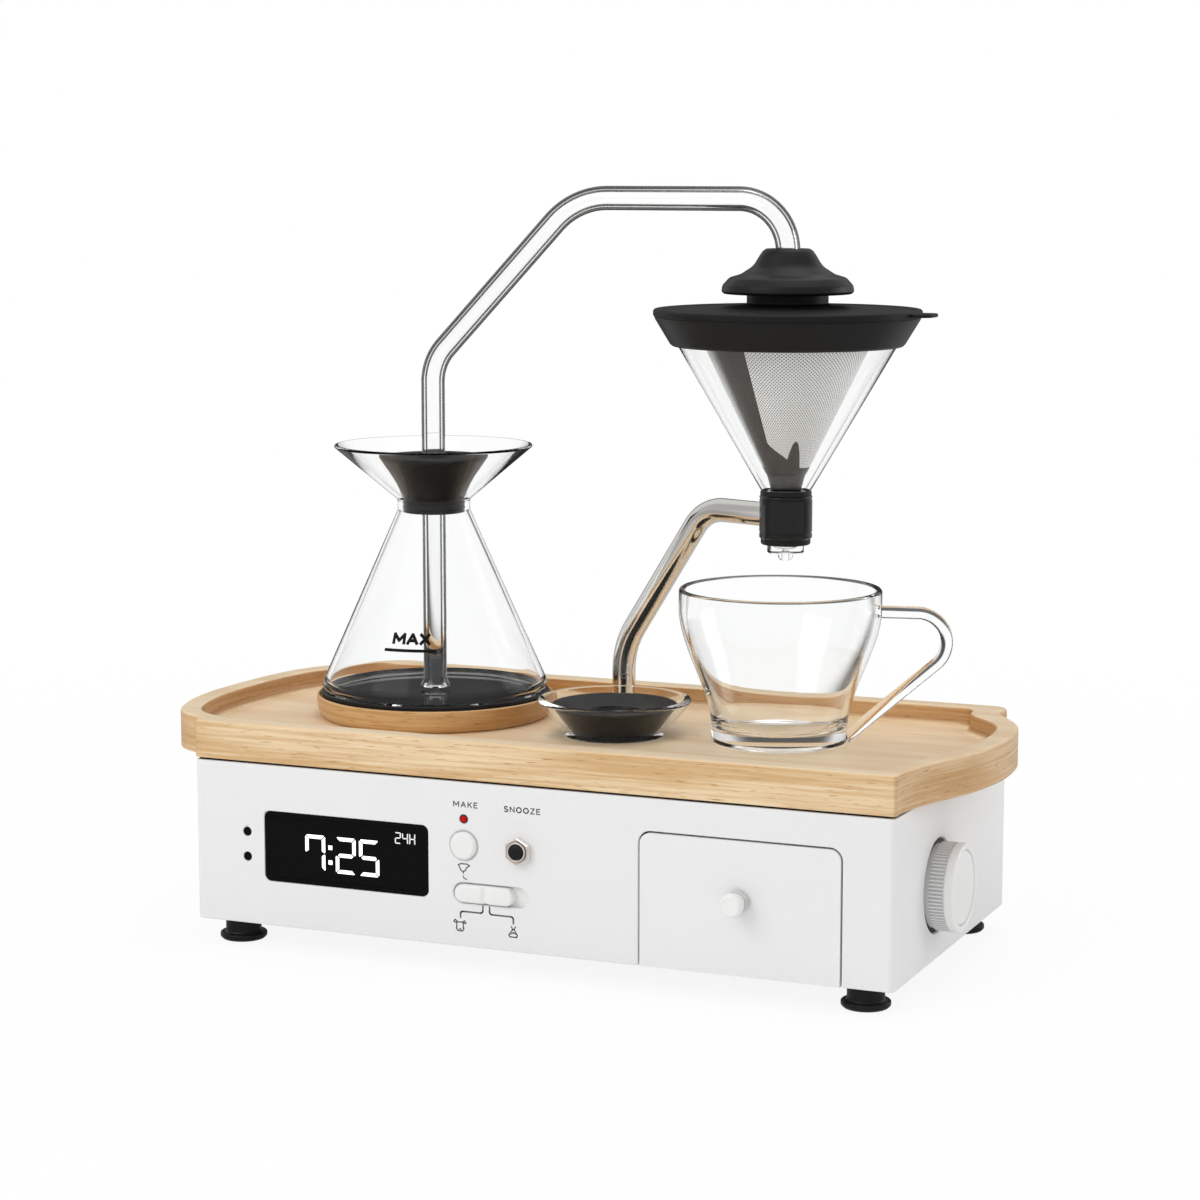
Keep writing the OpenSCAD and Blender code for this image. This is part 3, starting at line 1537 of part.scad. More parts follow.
module cooler_tile() {
    color("white")
        translate([vessel_ax - tile_w / 2, vessel_ay - tile_w / 2, well_z - tile_t])
            cube([tile_w, tile_w, tile_t]);
}

module heat_sink() {
    fins = 9;
    fin_t = 1.4;
    plate_t = 4;
    top = well_z - tile_t;
    pitch = (sink_w - fin_t) / (fins - 1);
    color("silver")
        translate([vessel_ax - sink_w / 2, vessel_ay - sink_w / 2, 0]) {
            translate([0, 0, top - plate_t])
                cube([sink_w, sink_w, plate_t]);
            for (i = [0:fins - 1])
                translate([i * pitch, 0, base_top])
                    cube([fin_t, sink_w, top - base_top - 0.5]);
        }
}

housing();
base_plate();
base_screws();
feet();
tray();
tray_screws();
display_window();
display_module();
sensor_windows();
status_led();
start_button();
start_switch();
snooze_nut();
snooze_barrel();
snooze_button();
slide_cap();
slide_switch();
control_board();
drawer();
drawer_rails();
drawer_knob();
drawer_knob_screw();
rotary_knob();
knob_face();
knob_shaft();
encoder();
power_inlet();
power_board();
speaker();
coaster();
heater_plate();
heater_pan();
induction_coil();
flask();
flask_base_ring();
flask_stopper();
stopper_rings();
riser_tube();
dispenser_cap();
support_arm();
arm_nut();
collar();
cone_gasket();
dripper_cone();
filter_ring();
mesh_filter();
filter_lid();
cup();
milk_vessel();
milk_stopper();
cooling_well();
cooler_tile();
heat_sink();
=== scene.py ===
import math

import bmesh
import bpy
from mathutils import Matrix, Vector


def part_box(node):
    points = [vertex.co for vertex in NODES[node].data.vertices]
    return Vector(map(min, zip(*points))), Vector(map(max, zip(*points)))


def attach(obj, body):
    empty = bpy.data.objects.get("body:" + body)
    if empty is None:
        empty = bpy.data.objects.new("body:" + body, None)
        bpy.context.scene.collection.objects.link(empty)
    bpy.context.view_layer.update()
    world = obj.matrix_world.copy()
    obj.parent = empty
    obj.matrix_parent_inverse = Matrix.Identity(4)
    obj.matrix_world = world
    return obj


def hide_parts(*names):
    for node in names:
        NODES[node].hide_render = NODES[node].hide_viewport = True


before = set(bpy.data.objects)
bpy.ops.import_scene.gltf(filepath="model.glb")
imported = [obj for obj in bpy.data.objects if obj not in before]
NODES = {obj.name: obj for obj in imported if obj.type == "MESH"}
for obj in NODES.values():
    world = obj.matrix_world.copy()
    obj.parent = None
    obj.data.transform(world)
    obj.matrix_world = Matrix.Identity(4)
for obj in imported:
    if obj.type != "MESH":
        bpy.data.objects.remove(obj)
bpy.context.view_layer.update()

MM = 0.001
UP = Matrix.Identity(4)
TO_FRONT = Matrix.Rotation(math.radians(90), 4, "X")
TO_RIGHT = Matrix.Rotation(math.radians(90), 4, "Y")

bl_info = {
    "name": "Coffee maker alarm clock",
    "version": (1, 0, 0),
    "blender": (4, 5, 0),
    "location": "View3D > Sidebar > Coffee clock",
    "description": "Dresses the coffee maker alarm clock and sets its studio",
    "category": "Object",
}


def srgb(red, green, blue):
    """A colour given as screen values from 0 to 255, in linear light."""
    def linear(value):
        value /= 255
        return value / 12.92 if value <= 0.04045 else ((value + 0.055) / 1.055) ** 2.4
    return (linear(red), linear(green), linear(blue))


def low(node):
    """Lowest corner of a CAD node in millimetres."""
    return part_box(node)[0] / MM


def high(node):
    """Highest corner of a CAD node in millimetres."""
    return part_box(node)[1] / MM


def middle(node):
    """Middle of a CAD node's box in millimetres."""
    return (low(node) + high(node)) / 2


FRONT_Y = low("housing").y
FLOOR_Z = low("coaster").z
FLASK_AT = Vector((middle("coaster").x, middle("coaster").y, low("flask").z))
DRIP_AT = Vector((middle("filter_ring").x, middle("filter_ring").y, 0.0))
CUP_FOOT_Z = low("cup").z


class ClockFinish(bpy.types.PropertyGroup):
    """Colours of the clock's surfaces."""
    body: bpy.props.FloatVectorProperty(
        name="Body", description="White of the housing and the drawer", subtype="COLOR",
        default=srgb(240, 240, 240), min=0, max=1)
    controls: bpy.props.FloatVectorProperty(
        name="Controls", description="White of the buttons and knobs", subtype="COLOR",
        default=srgb(243, 243, 242), min=0, max=1)
    beech_light: bpy.props.FloatVectorProperty(
        name="Beech, light", description="Pale wood between the grain lines", subtype="COLOR",
        default=srgb(243, 217, 177), min=0, max=1)
    beech_dark: bpy.props.FloatVectorProperty(
        name="Beech, dark", description="Darker wood of the grain lines", subtype="COLOR",
        default=srgb(216, 175, 122), min=0, max=1)
    beech_fleck: bpy.props.FloatVectorProperty(
        name="Beech flecks", description="Short dark flecks in the wood", subtype="COLOR",
        default=srgb(184, 137, 85), min=0, max=1)
    rubber: bpy.props.FloatVectorProperty(
        name="Rubber", description="Black of the rubber pieces", subtype="COLOR",
        default=srgb(25, 25, 25), min=0, max=1)
    gloss: bpy.props.FloatVectorProperty(
        name="Gloss black", description="Black of the collar and the windows", subtype="COLOR",
        default=srgb(8, 8, 8), min=0, max=1)
    steel: bpy.props.FloatVectorProperty(
        name="Steel", description="Tint of the bright steel", subtype="COLOR",
        default=(0.78, 0.76, 0.73), min=0, max=1)
    ink: bpy.props.FloatVectorProperty(
        name="Panel ink", description="Print on the front panel", subtype="COLOR",
        default=srgb(92, 97, 108), min=0, max=1)
    lamp: bpy.props.FloatVectorProperty(
        name="Status light", description="Lens of the status light", subtype="COLOR",
        default=srgb(196, 8, 13), min=0, max=1)


class ClockShape(bpy.types.PropertyGroup):
    """Sizes that dress the CAD solids."""
    body_edge: bpy.props.FloatProperty(
        name="Body edge", description="Rounding of the housing's edges", unit="LENGTH",
        default=0.45 * MM, min=0.1 * MM, max=1 * MM)
    tray_edge: bpy.props.FloatProperty(
        name="Tray edge", description="Rounding of the tray's edges", unit="LENGTH",
        default=1.1 * MM, min=0.3 * MM, max=2 * MM)
    control_edge: bpy.props.FloatProperty(
        name="Control edge", description="Rounding of small controls", unit="LENGTH",
        default=0.35 * MM, min=0.05 * MM, max=0.6 * MM)
    digit_height: bpy.props.FloatProperty(
        name="Digit height", description="Height of the clock's digits", unit="LENGTH",
        default=14.7 * MM, min=8 * MM, max=20 * MM)
    print_height: bpy.props.FloatProperty(
        name="Print height", description="Height of the capitals on the front panel", unit="LENGTH",
        default=2.4 * MM, min=1 * MM, max=4 * MM)
    around: bpy.props.IntProperty(
        name="Facets round", description="Facets of a turned piece", default=160, min=48, max=360)


class ClockStage(bpy.types.PropertyGroup):
    """Camera and light."""
    eye: bpy.props.FloatVectorProperty(
        name="Camera", description="Place of the camera", subtype="TRANSLATION", unit="LENGTH",
        default=(0.4761, -1.1263, 0.3149))
    turn: bpy.props.FloatProperty(
        name="Turn", description="Turn of the camera to the left", subtype="ANGLE",
        default=math.radians(22.959))
    tilt: bpy.props.FloatProperty(
        name="Tilt", description="Tilt of the camera towards the floor", subtype="ANGLE",
        default=math.radians(8.219))
    lens: bpy.props.FloatProperty(
        name="Lens", description="Focal length on a 36 mm sensor", default=91.92, min=20, max=200)
    side_tone: bpy.props.FloatProperty(
        name="Side tone", description="Brightness of the room's sides in glass and metal", default=0.82,
        min=0, max=1)
    belt_tone: bpy.props.FloatProperty(
        name="Belt tone", description="Brightness of the dark belt that draws the edges of glass",
        default=0.03, min=0, max=1)
    front_tone: bpy.props.FloatProperty(
        name="Front tone", description="Brightness of the room behind the camera in glass and metal",
        default=0.75, min=0, max=1)
    ambient: bpy.props.FloatProperty(
        name="Ambient", description="Light from the whole room", default=0.64, min=0, max=2)
    key: bpy.props.FloatProperty(
        name="Key lamp", description="Power of the lamp at the front left", unit="POWER",
        default=10.5, min=0, max=60)
    fill: bpy.props.FloatProperty(
        name="Fill lamp", description="Power of the lamp at the back right", unit="POWER",
        default=1.1, min=0, max=60)
    overhead: bpy.props.FloatProperty(
        name="Overhead lamp", description="Power of the lamp above", unit="POWER",
        default=6.5, min=0, max=60)


def shape():
    return bpy.context.scene.clock_shape


def colours():
    return bpy.context.scene.clock_finish


# Meshes

def arc_corner(before, corner, after, radius, steps=6):
    """Points of the arc that rounds one corner of a profile."""
    here = Vector(corner[:2])
    back = Vector(before[:2]) - here
    on = Vector(after[:2]) - here
    if radius <= 0 or back.length < 1e-6 or on.length < 1e-6:
        return [tuple(here)]
    angle = back.angle(on)
    if angle > math.radians(178) or angle < math.radians(2):
        return [tuple(here)]
    reach = min(radius / math.tan(angle / 2), 0.48 * back.length, 0.48 * on.length)
    first = here + back.normalized() * reach
    last = here + on.normalized() * reach
    centre = here + (back.normalized() + on.normalized()).normalized() * (
        reach * math.tan(angle / 2) / math.sin(angle / 2))
    start, end = first - centre, last - centre
    sweep = start.angle_signed(end)
    size = start.length
    a0 = math.atan2(start.y, start.x)
    return [(centre.x + size * math.cos(a0 - sweep * k / steps),
             centre.y + size * math.sin(a0 - sweep * k / steps)) for k in range(steps + 1)]


def rounded(profile):
    """A closed profile whose points (radius, height, rounding) have their roundings made."""
    made = []
    count = len(profile)
    for i, point in enumerate(profile):
        radius = point[2] if len(point) > 2 else 0
        made += arc_corner(profile[i - 1], point, profile[(i + 1) % count], radius)
    return made


def turned(profile, at, facing=UP, segments=None):
    """Mesh turned from a closed profile in millimetres round an axis through at."""
    points = rounded(profile)
    segments = segments or shape().around
    place = Matrix.Translation(Vector(at) * MM) @ facing
    bm = bmesh.new()
    rings = []
    for radius, height in points:
        if radius < 1e-5:
            rings.append([bm.verts.new(place @ Vector((0, 0, height * MM)))])
            continue
        rings.append([bm.verts.new(place @ Vector((
            radius * MM * math.cos(2 * math.pi * k / segments),
            radius * MM * math.sin(2 * math.pi * k / segments), height * MM)))
            for k in range(segments)])
    for ring, following in zip(rings, rings[1:] + rings[:1]):
        if len(ring) == 1 and len(following) == 1:
            continue
        for k in range(segments):
            j = (k + 1) % segments
            corners = [ring[k % len(ring)], ring[j % len(ring)],
                       following[j % len(following)], following[k % len(following)]]
            unique = list(dict.fromkeys(corners))
            bm.faces.new(unique)
    return sealed(bm)


def sealed(bm):
    """Mesh of a bmesh whose normals point outwards."""
    bmesh.ops.remove_doubles(bm, verts=bm.verts, dist=1e-7)
    bmesh.ops.recalc_face_normals(bm, faces=bm.faces)
    mesh = bpy.data.meshes.new("mesh")
    bm.to_mesh(mesh)
    bm.free()
    return mesh


def bent_path(steps, arc_step=3.0):
    """Places and headings of a run that starts upwards; a step is (straight, turn, bend radius)."""
    place, heading = Vector((0.0, 0.0)), 0.0
    path = [(place.copy(), heading)]
    for straight, turn, bend in steps:
        place = place + straight * Vector((math.sin(heading), math.cos(heading)))
        path.append((place.copy(), heading))
        if turn:
            centre = place + bend * Vector((math.cos(heading), -math.sin(heading)))
            count = max(2, math.ceil(turn / arc_step))
            first = heading
            for k in range(1, count + 1):
                heading = first + math.radians(turn) * k / count
                place = centre - bend * Vector((math.cos(heading), -math.sin(heading)))
                path.append((place.copy(), heading))
    return path


def swept_rings(bm, path, radii, place, segments):
    """Rings of vertices of one radius each along a bent path."""
    rings = []
    for (at, heading), radius in zip(path, radii):
        side = Vector((math.cos(heading), 0, -math.sin(heading)))
        ring = []
        for k in range(segments):
            a = 2 * math.pi * k / segments
            local = Vector((at.x, 0, at.y)) + radius * (math.cos(a) * side + math.sin(a) * Vector((0, 1, 0)))
            ring.append(bm.verts.new(place @ (local * MM)))
        rings.append(ring)
    return rings


def skin(bm, rings, closed=False):
    """Faces between rings of equal length."""
    following = rings[1:] + rings[:1] if closed else rings[1:]
    for ring, other in zip(rings, following):
        for k in range(len(ring)):
            j = (k + 1) % len(ring)
            bm.faces.new((ring[k], ring[j], other[j], other[k]))


def with_ends(path, lead):
    """A bent path with extra places close to its two ends, for rounded lips."""
    first, heading = path[0]
    step = Vector((math.sin(heading), math.cos(heading)))
    last, tail_heading = path[-1]
    tail = Vector((math.sin(tail_heading), math.cos(tail_heading)))
    return ([(first + step * d, heading) for d in lead] + path[1:-1]
            + [(last - tail * d, tail_heading) for d in reversed(lead)])


def bent_tube(steps, place, radius, bore=0.0, lip=0.6, foot_flare=0.0, segments=48):
    """Closed mesh of a bent tube or rod with rounded lips; the foot may flare out."""
    lead = [0.0, 0.12 * lip, 0.4 * lip, lip]
    sunk = [0.55 * lip, 0.25 * lip, 0.06 * lip, 0.0]
    flare_at = [1.4, 2.6, 3.6]
    flare_by = [0.62, 0.25, 0.0]
    path = bent_path(steps)
    ended = with_ends(path, lead)
    inner = len(ended) - 2 * len(lead)
    radii = [radius - s for s in sunk] + [radius] * inner + [radius - s for s in reversed(sunk)]
    bores = [bore + s * 0.7 for s in sunk] + [bore] * inner + [bore + s * 0.7 for s in reversed(sunk)]
    if foot_flare:
        heading = path[0][1]
        step = Vector((math.sin(heading), math.cos(heading)))
        extra = [(path[0][0] + step * d, heading) for d in flare_at]
        count = len(lead)
        ended = ended[:count] + extra + ended[count:]
        radii = ([r + foot_flare for r in radii[:count]] + [radius + foot_flare * b for b in flare_by]
                 + radii[count:])
        bores = ([b + foot_flare * 0.8 * (1 - k / count) for k, b in enumerate(bores[:count])]
                 + [bore] * len(extra) + bores[count:])
    bm = bmesh.new()
    outer = swept_rings(bm, ended, radii, place, segments)
    if bore:
        inside = swept_rings(bm, ended, bores, place, segments)
        skin(bm, outer + inside[::-1], closed=True)
    else:
        skin(bm, outer)
        bm.faces.new(outer[0])
        bm.faces.new(outer[-1])
    return sealed(bm)


def corner_loop(width, height, radius, steps=8):
    """Points of a rectangle with round corners, anticlockwise."""
    points = []
    for sx, sz, a0 in ((1, 1, 0), (-1, 1, 90), (-1, -1, 180), (1, -1, 270)):
        for k in range(steps + 1):
            a = math.radians(a0 + 90 * k / steps)
            points.append((sx * (width / 2 - radius) + radius * math.cos(a),
                           sz * (height / 2 - radius) + radius * math.sin(a)))
    return points


def plates(outlines, thickness, place):
    """Closed flat plates of one thickness, cut to convex outlines in millimetres, on a plane."""
    bm = bmesh.new()
    for outline in outlines:
        back = [bm.verts.new(place @ Vector((x * MM, y * MM, 0))) for x, y in outline]
        face = [bm.verts.new(place @ Vector((x * MM, y * MM, thickness * MM))) for x, y in outline]
        bm.faces.new(back[::-1])
        bm.faces.new(face)
        skin(bm, [back, face])
    return sealed(bm)


def stroke(points, width, closed=False):
    """Convex outlines that draw a line of one width through points, with square joints overlapping."""
    made = []
    pairs = list(zip(points, points[1:] + (points[:1] if closed else [])))
    if not closed:
        pairs = list(zip(points, points[1:]))
    for a, b in pairs:
        a, b = Vector(a), Vector(b)
        along = (b - a).normalized()
        side = Vector((-along.y, along.x)) * width / 2
        a = a - along * width * 0.3
        b = b + along * width * 0.3
        made.append([tuple(a - side), tuple(b - side), tuple(b + side), tuple(a + side)])
    return made


def ring_arc(cx, cy, rx, ry, first, last, steps=14):
    """Points along an arc of an ellipse, angles in degrees."""
    return [(cx + rx * math.cos(math.radians(first + (last - first) * k / steps)),
             cy + ry * math.sin(math.radians(first + (last - first) * k / steps))) for k in range(steps + 1)]


CAPITALS = {
    "M": (1.15, [[(0, 0), (0, 1), (0.5, 0.3), (1, 1), (1, 0)]]),
    "A": (1.0, [[(0, 0), (0.5, 1), (1, 0)], [(0.2, 0.33), (0.8, 0.33)]]),
    "K": (0.8, [[(0, 0), (0, 1)], [(1, 1), (0, 0.36)], [(0.38, 0.6), (1, 0)]]),
    "E": (0.7, [[(1, 1), (0, 1), (0, 0), (1, 0)], [(0, 0.52), (0.88, 0.52)]]),
    "S": (0.75, [ring_arc(0.5, 0.75, 0.46, 0.25, 35, 255) + ring_arc(0.5, 0.25, 0.5, 0.25, 75, -145)]),
    "N": (0.9, [[(0, 0), (0, 1), (1, 0), (1, 1)]]),
    "O": (1.05, [ring_arc(0.5, 0.5, 0.5, 0.5, 0, 360, 28)]),
    "Z": (0.8, [[(0, 1), (1, 1), (0, 0), (1, 0)]]),
    "X": (0.9, [[(0, 0), (1, 1)], [(0, 1), (1, 0)]]),
}


def letters(text, width, height, line, breadth=0.8):
    """Outlines of plain capitals with their middle at the origin, in millimetres."""
    wide = [CAPITALS[sign][0] * breadth * (height - line) for sign in text]
    space = (width - line - sum(wide)) / (len(text) - 1)
    left = (line - width) / 2
    outlines = []
    for sign, span in zip(text, wide):
        for path in CAPITALS[sign][1]:
            outlines += stroke([(left + x * span, (y - 0.5) * (height - line)) for x, y in path], line)
        left += span + space
    return outlines


def smooth_line(points, steps=5):
    """Places along a smooth curve through points."""
    made = []
    ends = [points[0]] + list(points) + [points[-1]]
    for four in zip(ends, ends[1:], ends[2:], ends[3:]):
        for k in range(steps):
            t = k / steps
            made.append(tuple(0.5 * (2 * b + (c - a) * t + (2 * a - 5 * b + 4 * c - d) * t ** 2
                                     + (3 * b - a - 3 * c + d) * t ** 3) for a, b, c, d in zip(*four)))
    return made + [tuple(points[-1])]


def circle_loop(x, y, radius, steps=128):
    """Places round a circle, anticlockwise."""
    return [(x + radius * math.cos(2 * math.pi * k / steps), y + radius * math.sin(2 * math.pi * k / steps))
            for k in range(steps)]


def shifted(loop, inset):
    """An anticlockwise loop moved towards its inside."""
    made = []
    for before, here, after in zip(loop[-1:] + loop[:-1], loop, loop[1:] + loop[:1]):
        back = (Vector(here) - Vector(before)).normalized()
        on = (Vector(after) - Vector(here)).normalized()
        along = (back + on).normalized()
        inward = Vector((-along.y, along.x))
        made.append(tuple(Vector(here) + inward * inset / max(0.6, inward.dot(Vector((-on.y, on.x))))))
    return made


def piece(name, mesh, finish, body, stands_for=(), sharp=38):
    """A new piece of the object: its mesh, its finish and the body that it rides on."""
    mesh.name = name
    made = bpy.data.objects.new(name, mesh)
    bpy.context.scene.collection.objects.link(made)
    mesh.materials.clear()
    mesh.materials.append(finish)
    mesh.shade_smooth()
    mesh.set_sharp_from_angle(angle=math.radians(sharp))
    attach(made, body)
    if stands_for:
        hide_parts(*stands_for)
    return made


def dressed(node, finish, edge=0.0, segments=2):
    """A CAD node that stays: its finish, and rounded edges made by modifiers."""
    made = NODES[node]
    made.data.materials.clear()
    made.data.materials.append(finish)
    if edge:
        weld = made.modifiers.new("Join corners", "WELD")
        weld.merge_threshold = 1e-6
        flat = made.modifiers.new("Plain faces", "DECIMATE")
        flat.decimate_type = "DISSOLVE"
        flat.angle_limit = math.radians(0.2)
        bevel = made.modifiers.new("Round edges", "BEVEL")
        bevel.width = edge
        bevel.segments = segments
        bevel.limit_method = "ANGLE"
        bevel.angle_limit = math.radians(40)
        bevel.use_clamp_overlap = False
        made.modifiers.new("Even shading", "WEIGHTED_NORMAL")
    return made


# Node groups

def new_group(name, inputs, outputs):
    """A shader node group with named sockets; an input is (name, type, default)."""
    group = bpy.data.node_groups.new(name, "ShaderNodeTree")
    for label, kind, value in inputs:
        socket = group.interface.new_socket(label, in_out="INPUT", socket_type="NodeSocket" + kind)
        socket.default_value = value
    for label, kind in outputs:
        group.interface.new_socket(label, in_out="OUTPUT", socket_type="NodeSocket" + kind)
    return group, group.nodes.new("NodeGroupInput"), group.nodes.new("NodeGroupOutput")


def add(tree, kind, **values):
    """A node with some of its properties and unlinked inputs set."""
    node = tree.nodes.new("ShaderNode" + kind)
    for key, value in values.items():
        if hasattr(node, key):
            setattr(node, key, value)
        else:
            node.inputs[key.replace("_", " ")].default_value = value
    return node


def math_node(tree, operation, first, second=None, third=None):
    """A math node whose inputs are sockets or numbers; returns its output."""
    node = tree.nodes.new("ShaderNodeMath")
    node.operation = operation
    for socket, value in zip(node.inputs, (first, second, third)):
        if value is None:
            continue
        if isinstance(value, bpy.types.NodeSocket):
            tree.links.new(value, socket)
        else:
            socket.default_value = value
    return node.outputs[0]


def noise(tree, vector, scale, detail=4.0, roughness=0.55, distortion=0.0):
    """Noise over a vector, as a value from 0 to 1."""
    node = add(tree, "TexNoise", Detail=detail, Roughness=roughness, Distortion=distortion)
    tree.links.new(vector, node.inputs["Vector"])
    if isinstance(scale, bpy.types.NodeSocket):
        tree.links.new(scale, node.inputs["Scale"])
    else:
        node.inputs["Scale"].default_value = scale
    return node.outputs["Fac"]


def ramp(tree, value, from_low, from_high, to_low=0.0, to_high=1.0):
    """A value mapped smoothly from one range to another."""
    node = add(tree, "MapRange", interpolation_type="SMOOTHSTEP")
    for name, number in (("From Min", from_low), ("From Max", from_high), ("To Min", to_low),
                         ("To Max", to_high)):
        if isinstance(number, bpy.types.NodeSocket):
            tree.links.new(number, node.inputs[name])
        else:
            node.inputs[name].default_value = number
    tree.links.new(value, node.inputs["Value"])
    return node.outputs["Result"]


def blend_colour(tree, factor, first, second, blend="MIX"):
    """Two colours mixed by a factor; returns the colour socket."""
    node = add(tree, "Mix", data_type="RGBA", blend_type=blend)
    for socket, value in ((node.inputs[0], factor), (node.inputs[6], first), (node.inputs[7], second)):
        if isinstance(value, bpy.types.NodeSocket):
            tree.links.new(value, socket)
        else:
            socket.default_value = value
    return node.outputs[2]


GROUPS = {}


def surface_group():
    """Mottled tone, fine grain and worn edges that every moulded or painted surface shares; the edges are
    lightened both as wear and as a painted edge highlight.
    """
    if "surface" not in GROUPS:
        group, source, sink = new_group("Surface tone and grain", (
            ("Colour", "Color", (0.8, 0.8, 0.8, 1)), ("Tone", "Float", 0.05), ("Tone scale", "Float", 18.0),
            ("Grain scale", "Float", 1500.0), ("Rough low", "Float", 0.3), ("Rough high", "Float", 0.4),
            ("Wear", "Float", 0.2)),
            (("Colour", "Color"), ("Roughness", "Float"), ("Height", "Float")))
        where = add(group, "TexCoord").outputs["Object"]
        slow = noise(group, where, source.outputs["Tone scale"], 3.0)
        fine = noise(group, where, source.outputs["Grain scale"], 2.0)
        shift = math_node(group, "MULTIPLY", math_node(group, "SUBTRACT", slow, 0.5), source.outputs["Tone"])
        gain = math_node(group, "ADD", shift, 1.0)
        gain_colour = add(group, "CombineColor")
        for socket in gain_colour.inputs:
            group.links.new(gain, socket)
        toned = blend_colour(group, 1.0, source.outputs["Colour"], gain_colour.outputs[0], "MULTIPLY")
        # Wear and painted edge highlight: convex edges, found by pointiness, are lightened towards white.
        point = add(group, "NewGeometry").outputs["Pointiness"]
        edge = math_node(group, "MULTIPLY", ramp(group, point, 0.52, 0.62), source.outputs["Wear"])
        worn_and_highlit = blend_colour(group, math_node(group, "MULTIPLY", edge, slow), toned, (1, 1, 1, 1),
                              "SOFT_LIGHT")
        group.links.new(worn_and_highlit, sink.inputs["Colour"])
        span = ramp(group, slow, 0.3, 0.7, source.outputs["Rough low"], source.outputs["Rough high"])
        group.links.new(span, sink.inputs["Roughness"])
        group.links.new(math_node(group, "MULTIPLY_ADD", slow, 0.3, fine), sink.inputs["Height"])
        GROUPS["surface"] = group
    return GROUPS["surface"]


def beech_group():
    """Beech: broad tone and fine fibres along the length, short dark flecks on the sides, end faces darkened
    partly as end grain and partly as painted shade, painted shade on the pocket's inner walls, and painted
    light on upward faces.
    """
    if "beech" not in GROUPS:
        group, source, sink = new_group("Beech grain", (
            ("Light", "Color", (0.8, 0.6, 0.3, 1)), ("Dark", "Color", (0.6, 0.4, 0.2, 1)),
            ("Fleck", "Color", (0.3, 0.15, 0.05, 1)), ("Inner shade", "Float", 0.0),
            ("Top bloom", "Float", 0.0)),
            (("Colour", "Color"), ("Roughness", "Float"), ("Height", "Float")))
        where = add(group, "TexCoord").outputs["Object"]
        split = add(group, "SeparateXYZ")
        group.links.new(where, split.inputs[0])
        normal = add(group, "SeparateXYZ")
        facing = add(group, "NewGeometry").outputs["Normal"]
        group.links.new(facing, normal.inputs[0])
        flatness = ramp(group, math_node(group, "ABSOLUTE", normal.outputs[2]), 0.45, 0.8)

        def stretched(length, across):
            along = math_node(group, "ADD", split.outputs[0], split.outputs[1])
            side = add(group, "CombineXYZ")
            group.links.new(math_node(group, "MULTIPLY", along, length), side.inputs[0])
            group.links.new(math_node(group, "MULTIPLY", split.outputs[2], across), side.inputs[1])
            top = add(group, "CombineXYZ")
            group.links.new(math_node(group, "MULTIPLY", split.outputs[0], length), top.inputs[0])
            group.links.new(math_node(group, "MULTIPLY", split.outputs[1], across), top.inputs[1])
            mix = add(group, "Mix", data_type="VECTOR")
            group.links.new(flatness, mix.inputs[0])
            group.links.new(side.outputs[0], mix.inputs[4])
            group.links.new(top.outputs[0], mix.inputs[5])
            return mix.outputs[1]

        broad = noise(group, stretched(7.0, 60.0), 1.0, 3.0, 0.5, 0.4)
        fibre = noise(group, stretched(20.0, 800.0), 1.0, 3.0, 0.6)
        fleck = noise(group, stretched(130.0, 1700.0), 1.0, 1.0, 0.4)
        strength = math_node(group, "SUBTRACT", 1.0, math_node(group, "MULTIPLY", flatness, 0.8))
        marks = math_node(group, "MULTIPLY", ramp(group, fleck, 0.63, 0.75), strength)
        tone = math_node(group, "MULTIPLY_ADD", fibre, 0.45, math_node(group, "MULTIPLY", broad, 0.55))
        wood = blend_colour(group, ramp(group, tone, 0.39, 0.6), source.outputs["Dark"],
                            source.outputs["Light"])
        flecked = blend_colour(group, math_node(group, "MULTIPLY", marks, 0.85), wood,
                               source.outputs["Fleck"])
        # Painted shade: inward-facing walls, such as the pocket's, are darkened where shade falls inside the
        # hollow.
        inward = add(group, "VectorMath", operation="DOT_PRODUCT")
        group.links.new(facing, inward.inputs[0])
        group.links.new(where, inward.inputs[1])
        pocket_shade_mask = math_node(group, "MULTIPLY", ramp(group, inward.outputs["Value"], -0.005, -0.03),
                           ramp(group, normal.outputs[2], 0.9, 0.5))
        shade = math_node(group, "MULTIPLY", pocket_shade_mask, source.outputs["Inner shade"])
        pocket_shaded = blend_colour(group, shade, flecked, (0.66, 0.5, 0.33, 1), "MULTIPLY")
        # End faces are darkened, partly as end grain and partly as painted shade.
        end_grain_and_shade_mask = math_node(group, "MULTIPLY",
                            ramp(group, math_node(group, "ABSOLUTE", normal.outputs[0]), 0.2, 0.8),
                            math_node(group, "MULTIPLY_ADD", flatness, -0.45, 0.45))
        ended = blend_colour(group, end_grain_and_shade_mask, pocket_shaded, (0.62, 0.47, 0.31, 1), "MULTIPLY")
        # Painted light: upward faces are lightened as if lit from above.
        top_light_mask = math_node(group, "MULTIPLY", ramp(group, normal.outputs[2], 0.8, 0.98),
                           source.outputs["Top bloom"])
        top_lit = blend_colour(group, top_light_mask, ended, (0.93, 0.79, 0.6, 1))
        group.links.new(top_lit, sink.inputs["Colour"])
        group.links.new(ramp(group, tone, 0.3, 0.7, 0.42, 0.34), sink.inputs["Roughness"])
        group.links.new(math_node(group, "SUBTRACT", fibre, marks), sink.inputs["Height"])
        GROUPS["beech"] = group
    return GROUPS["beech"]


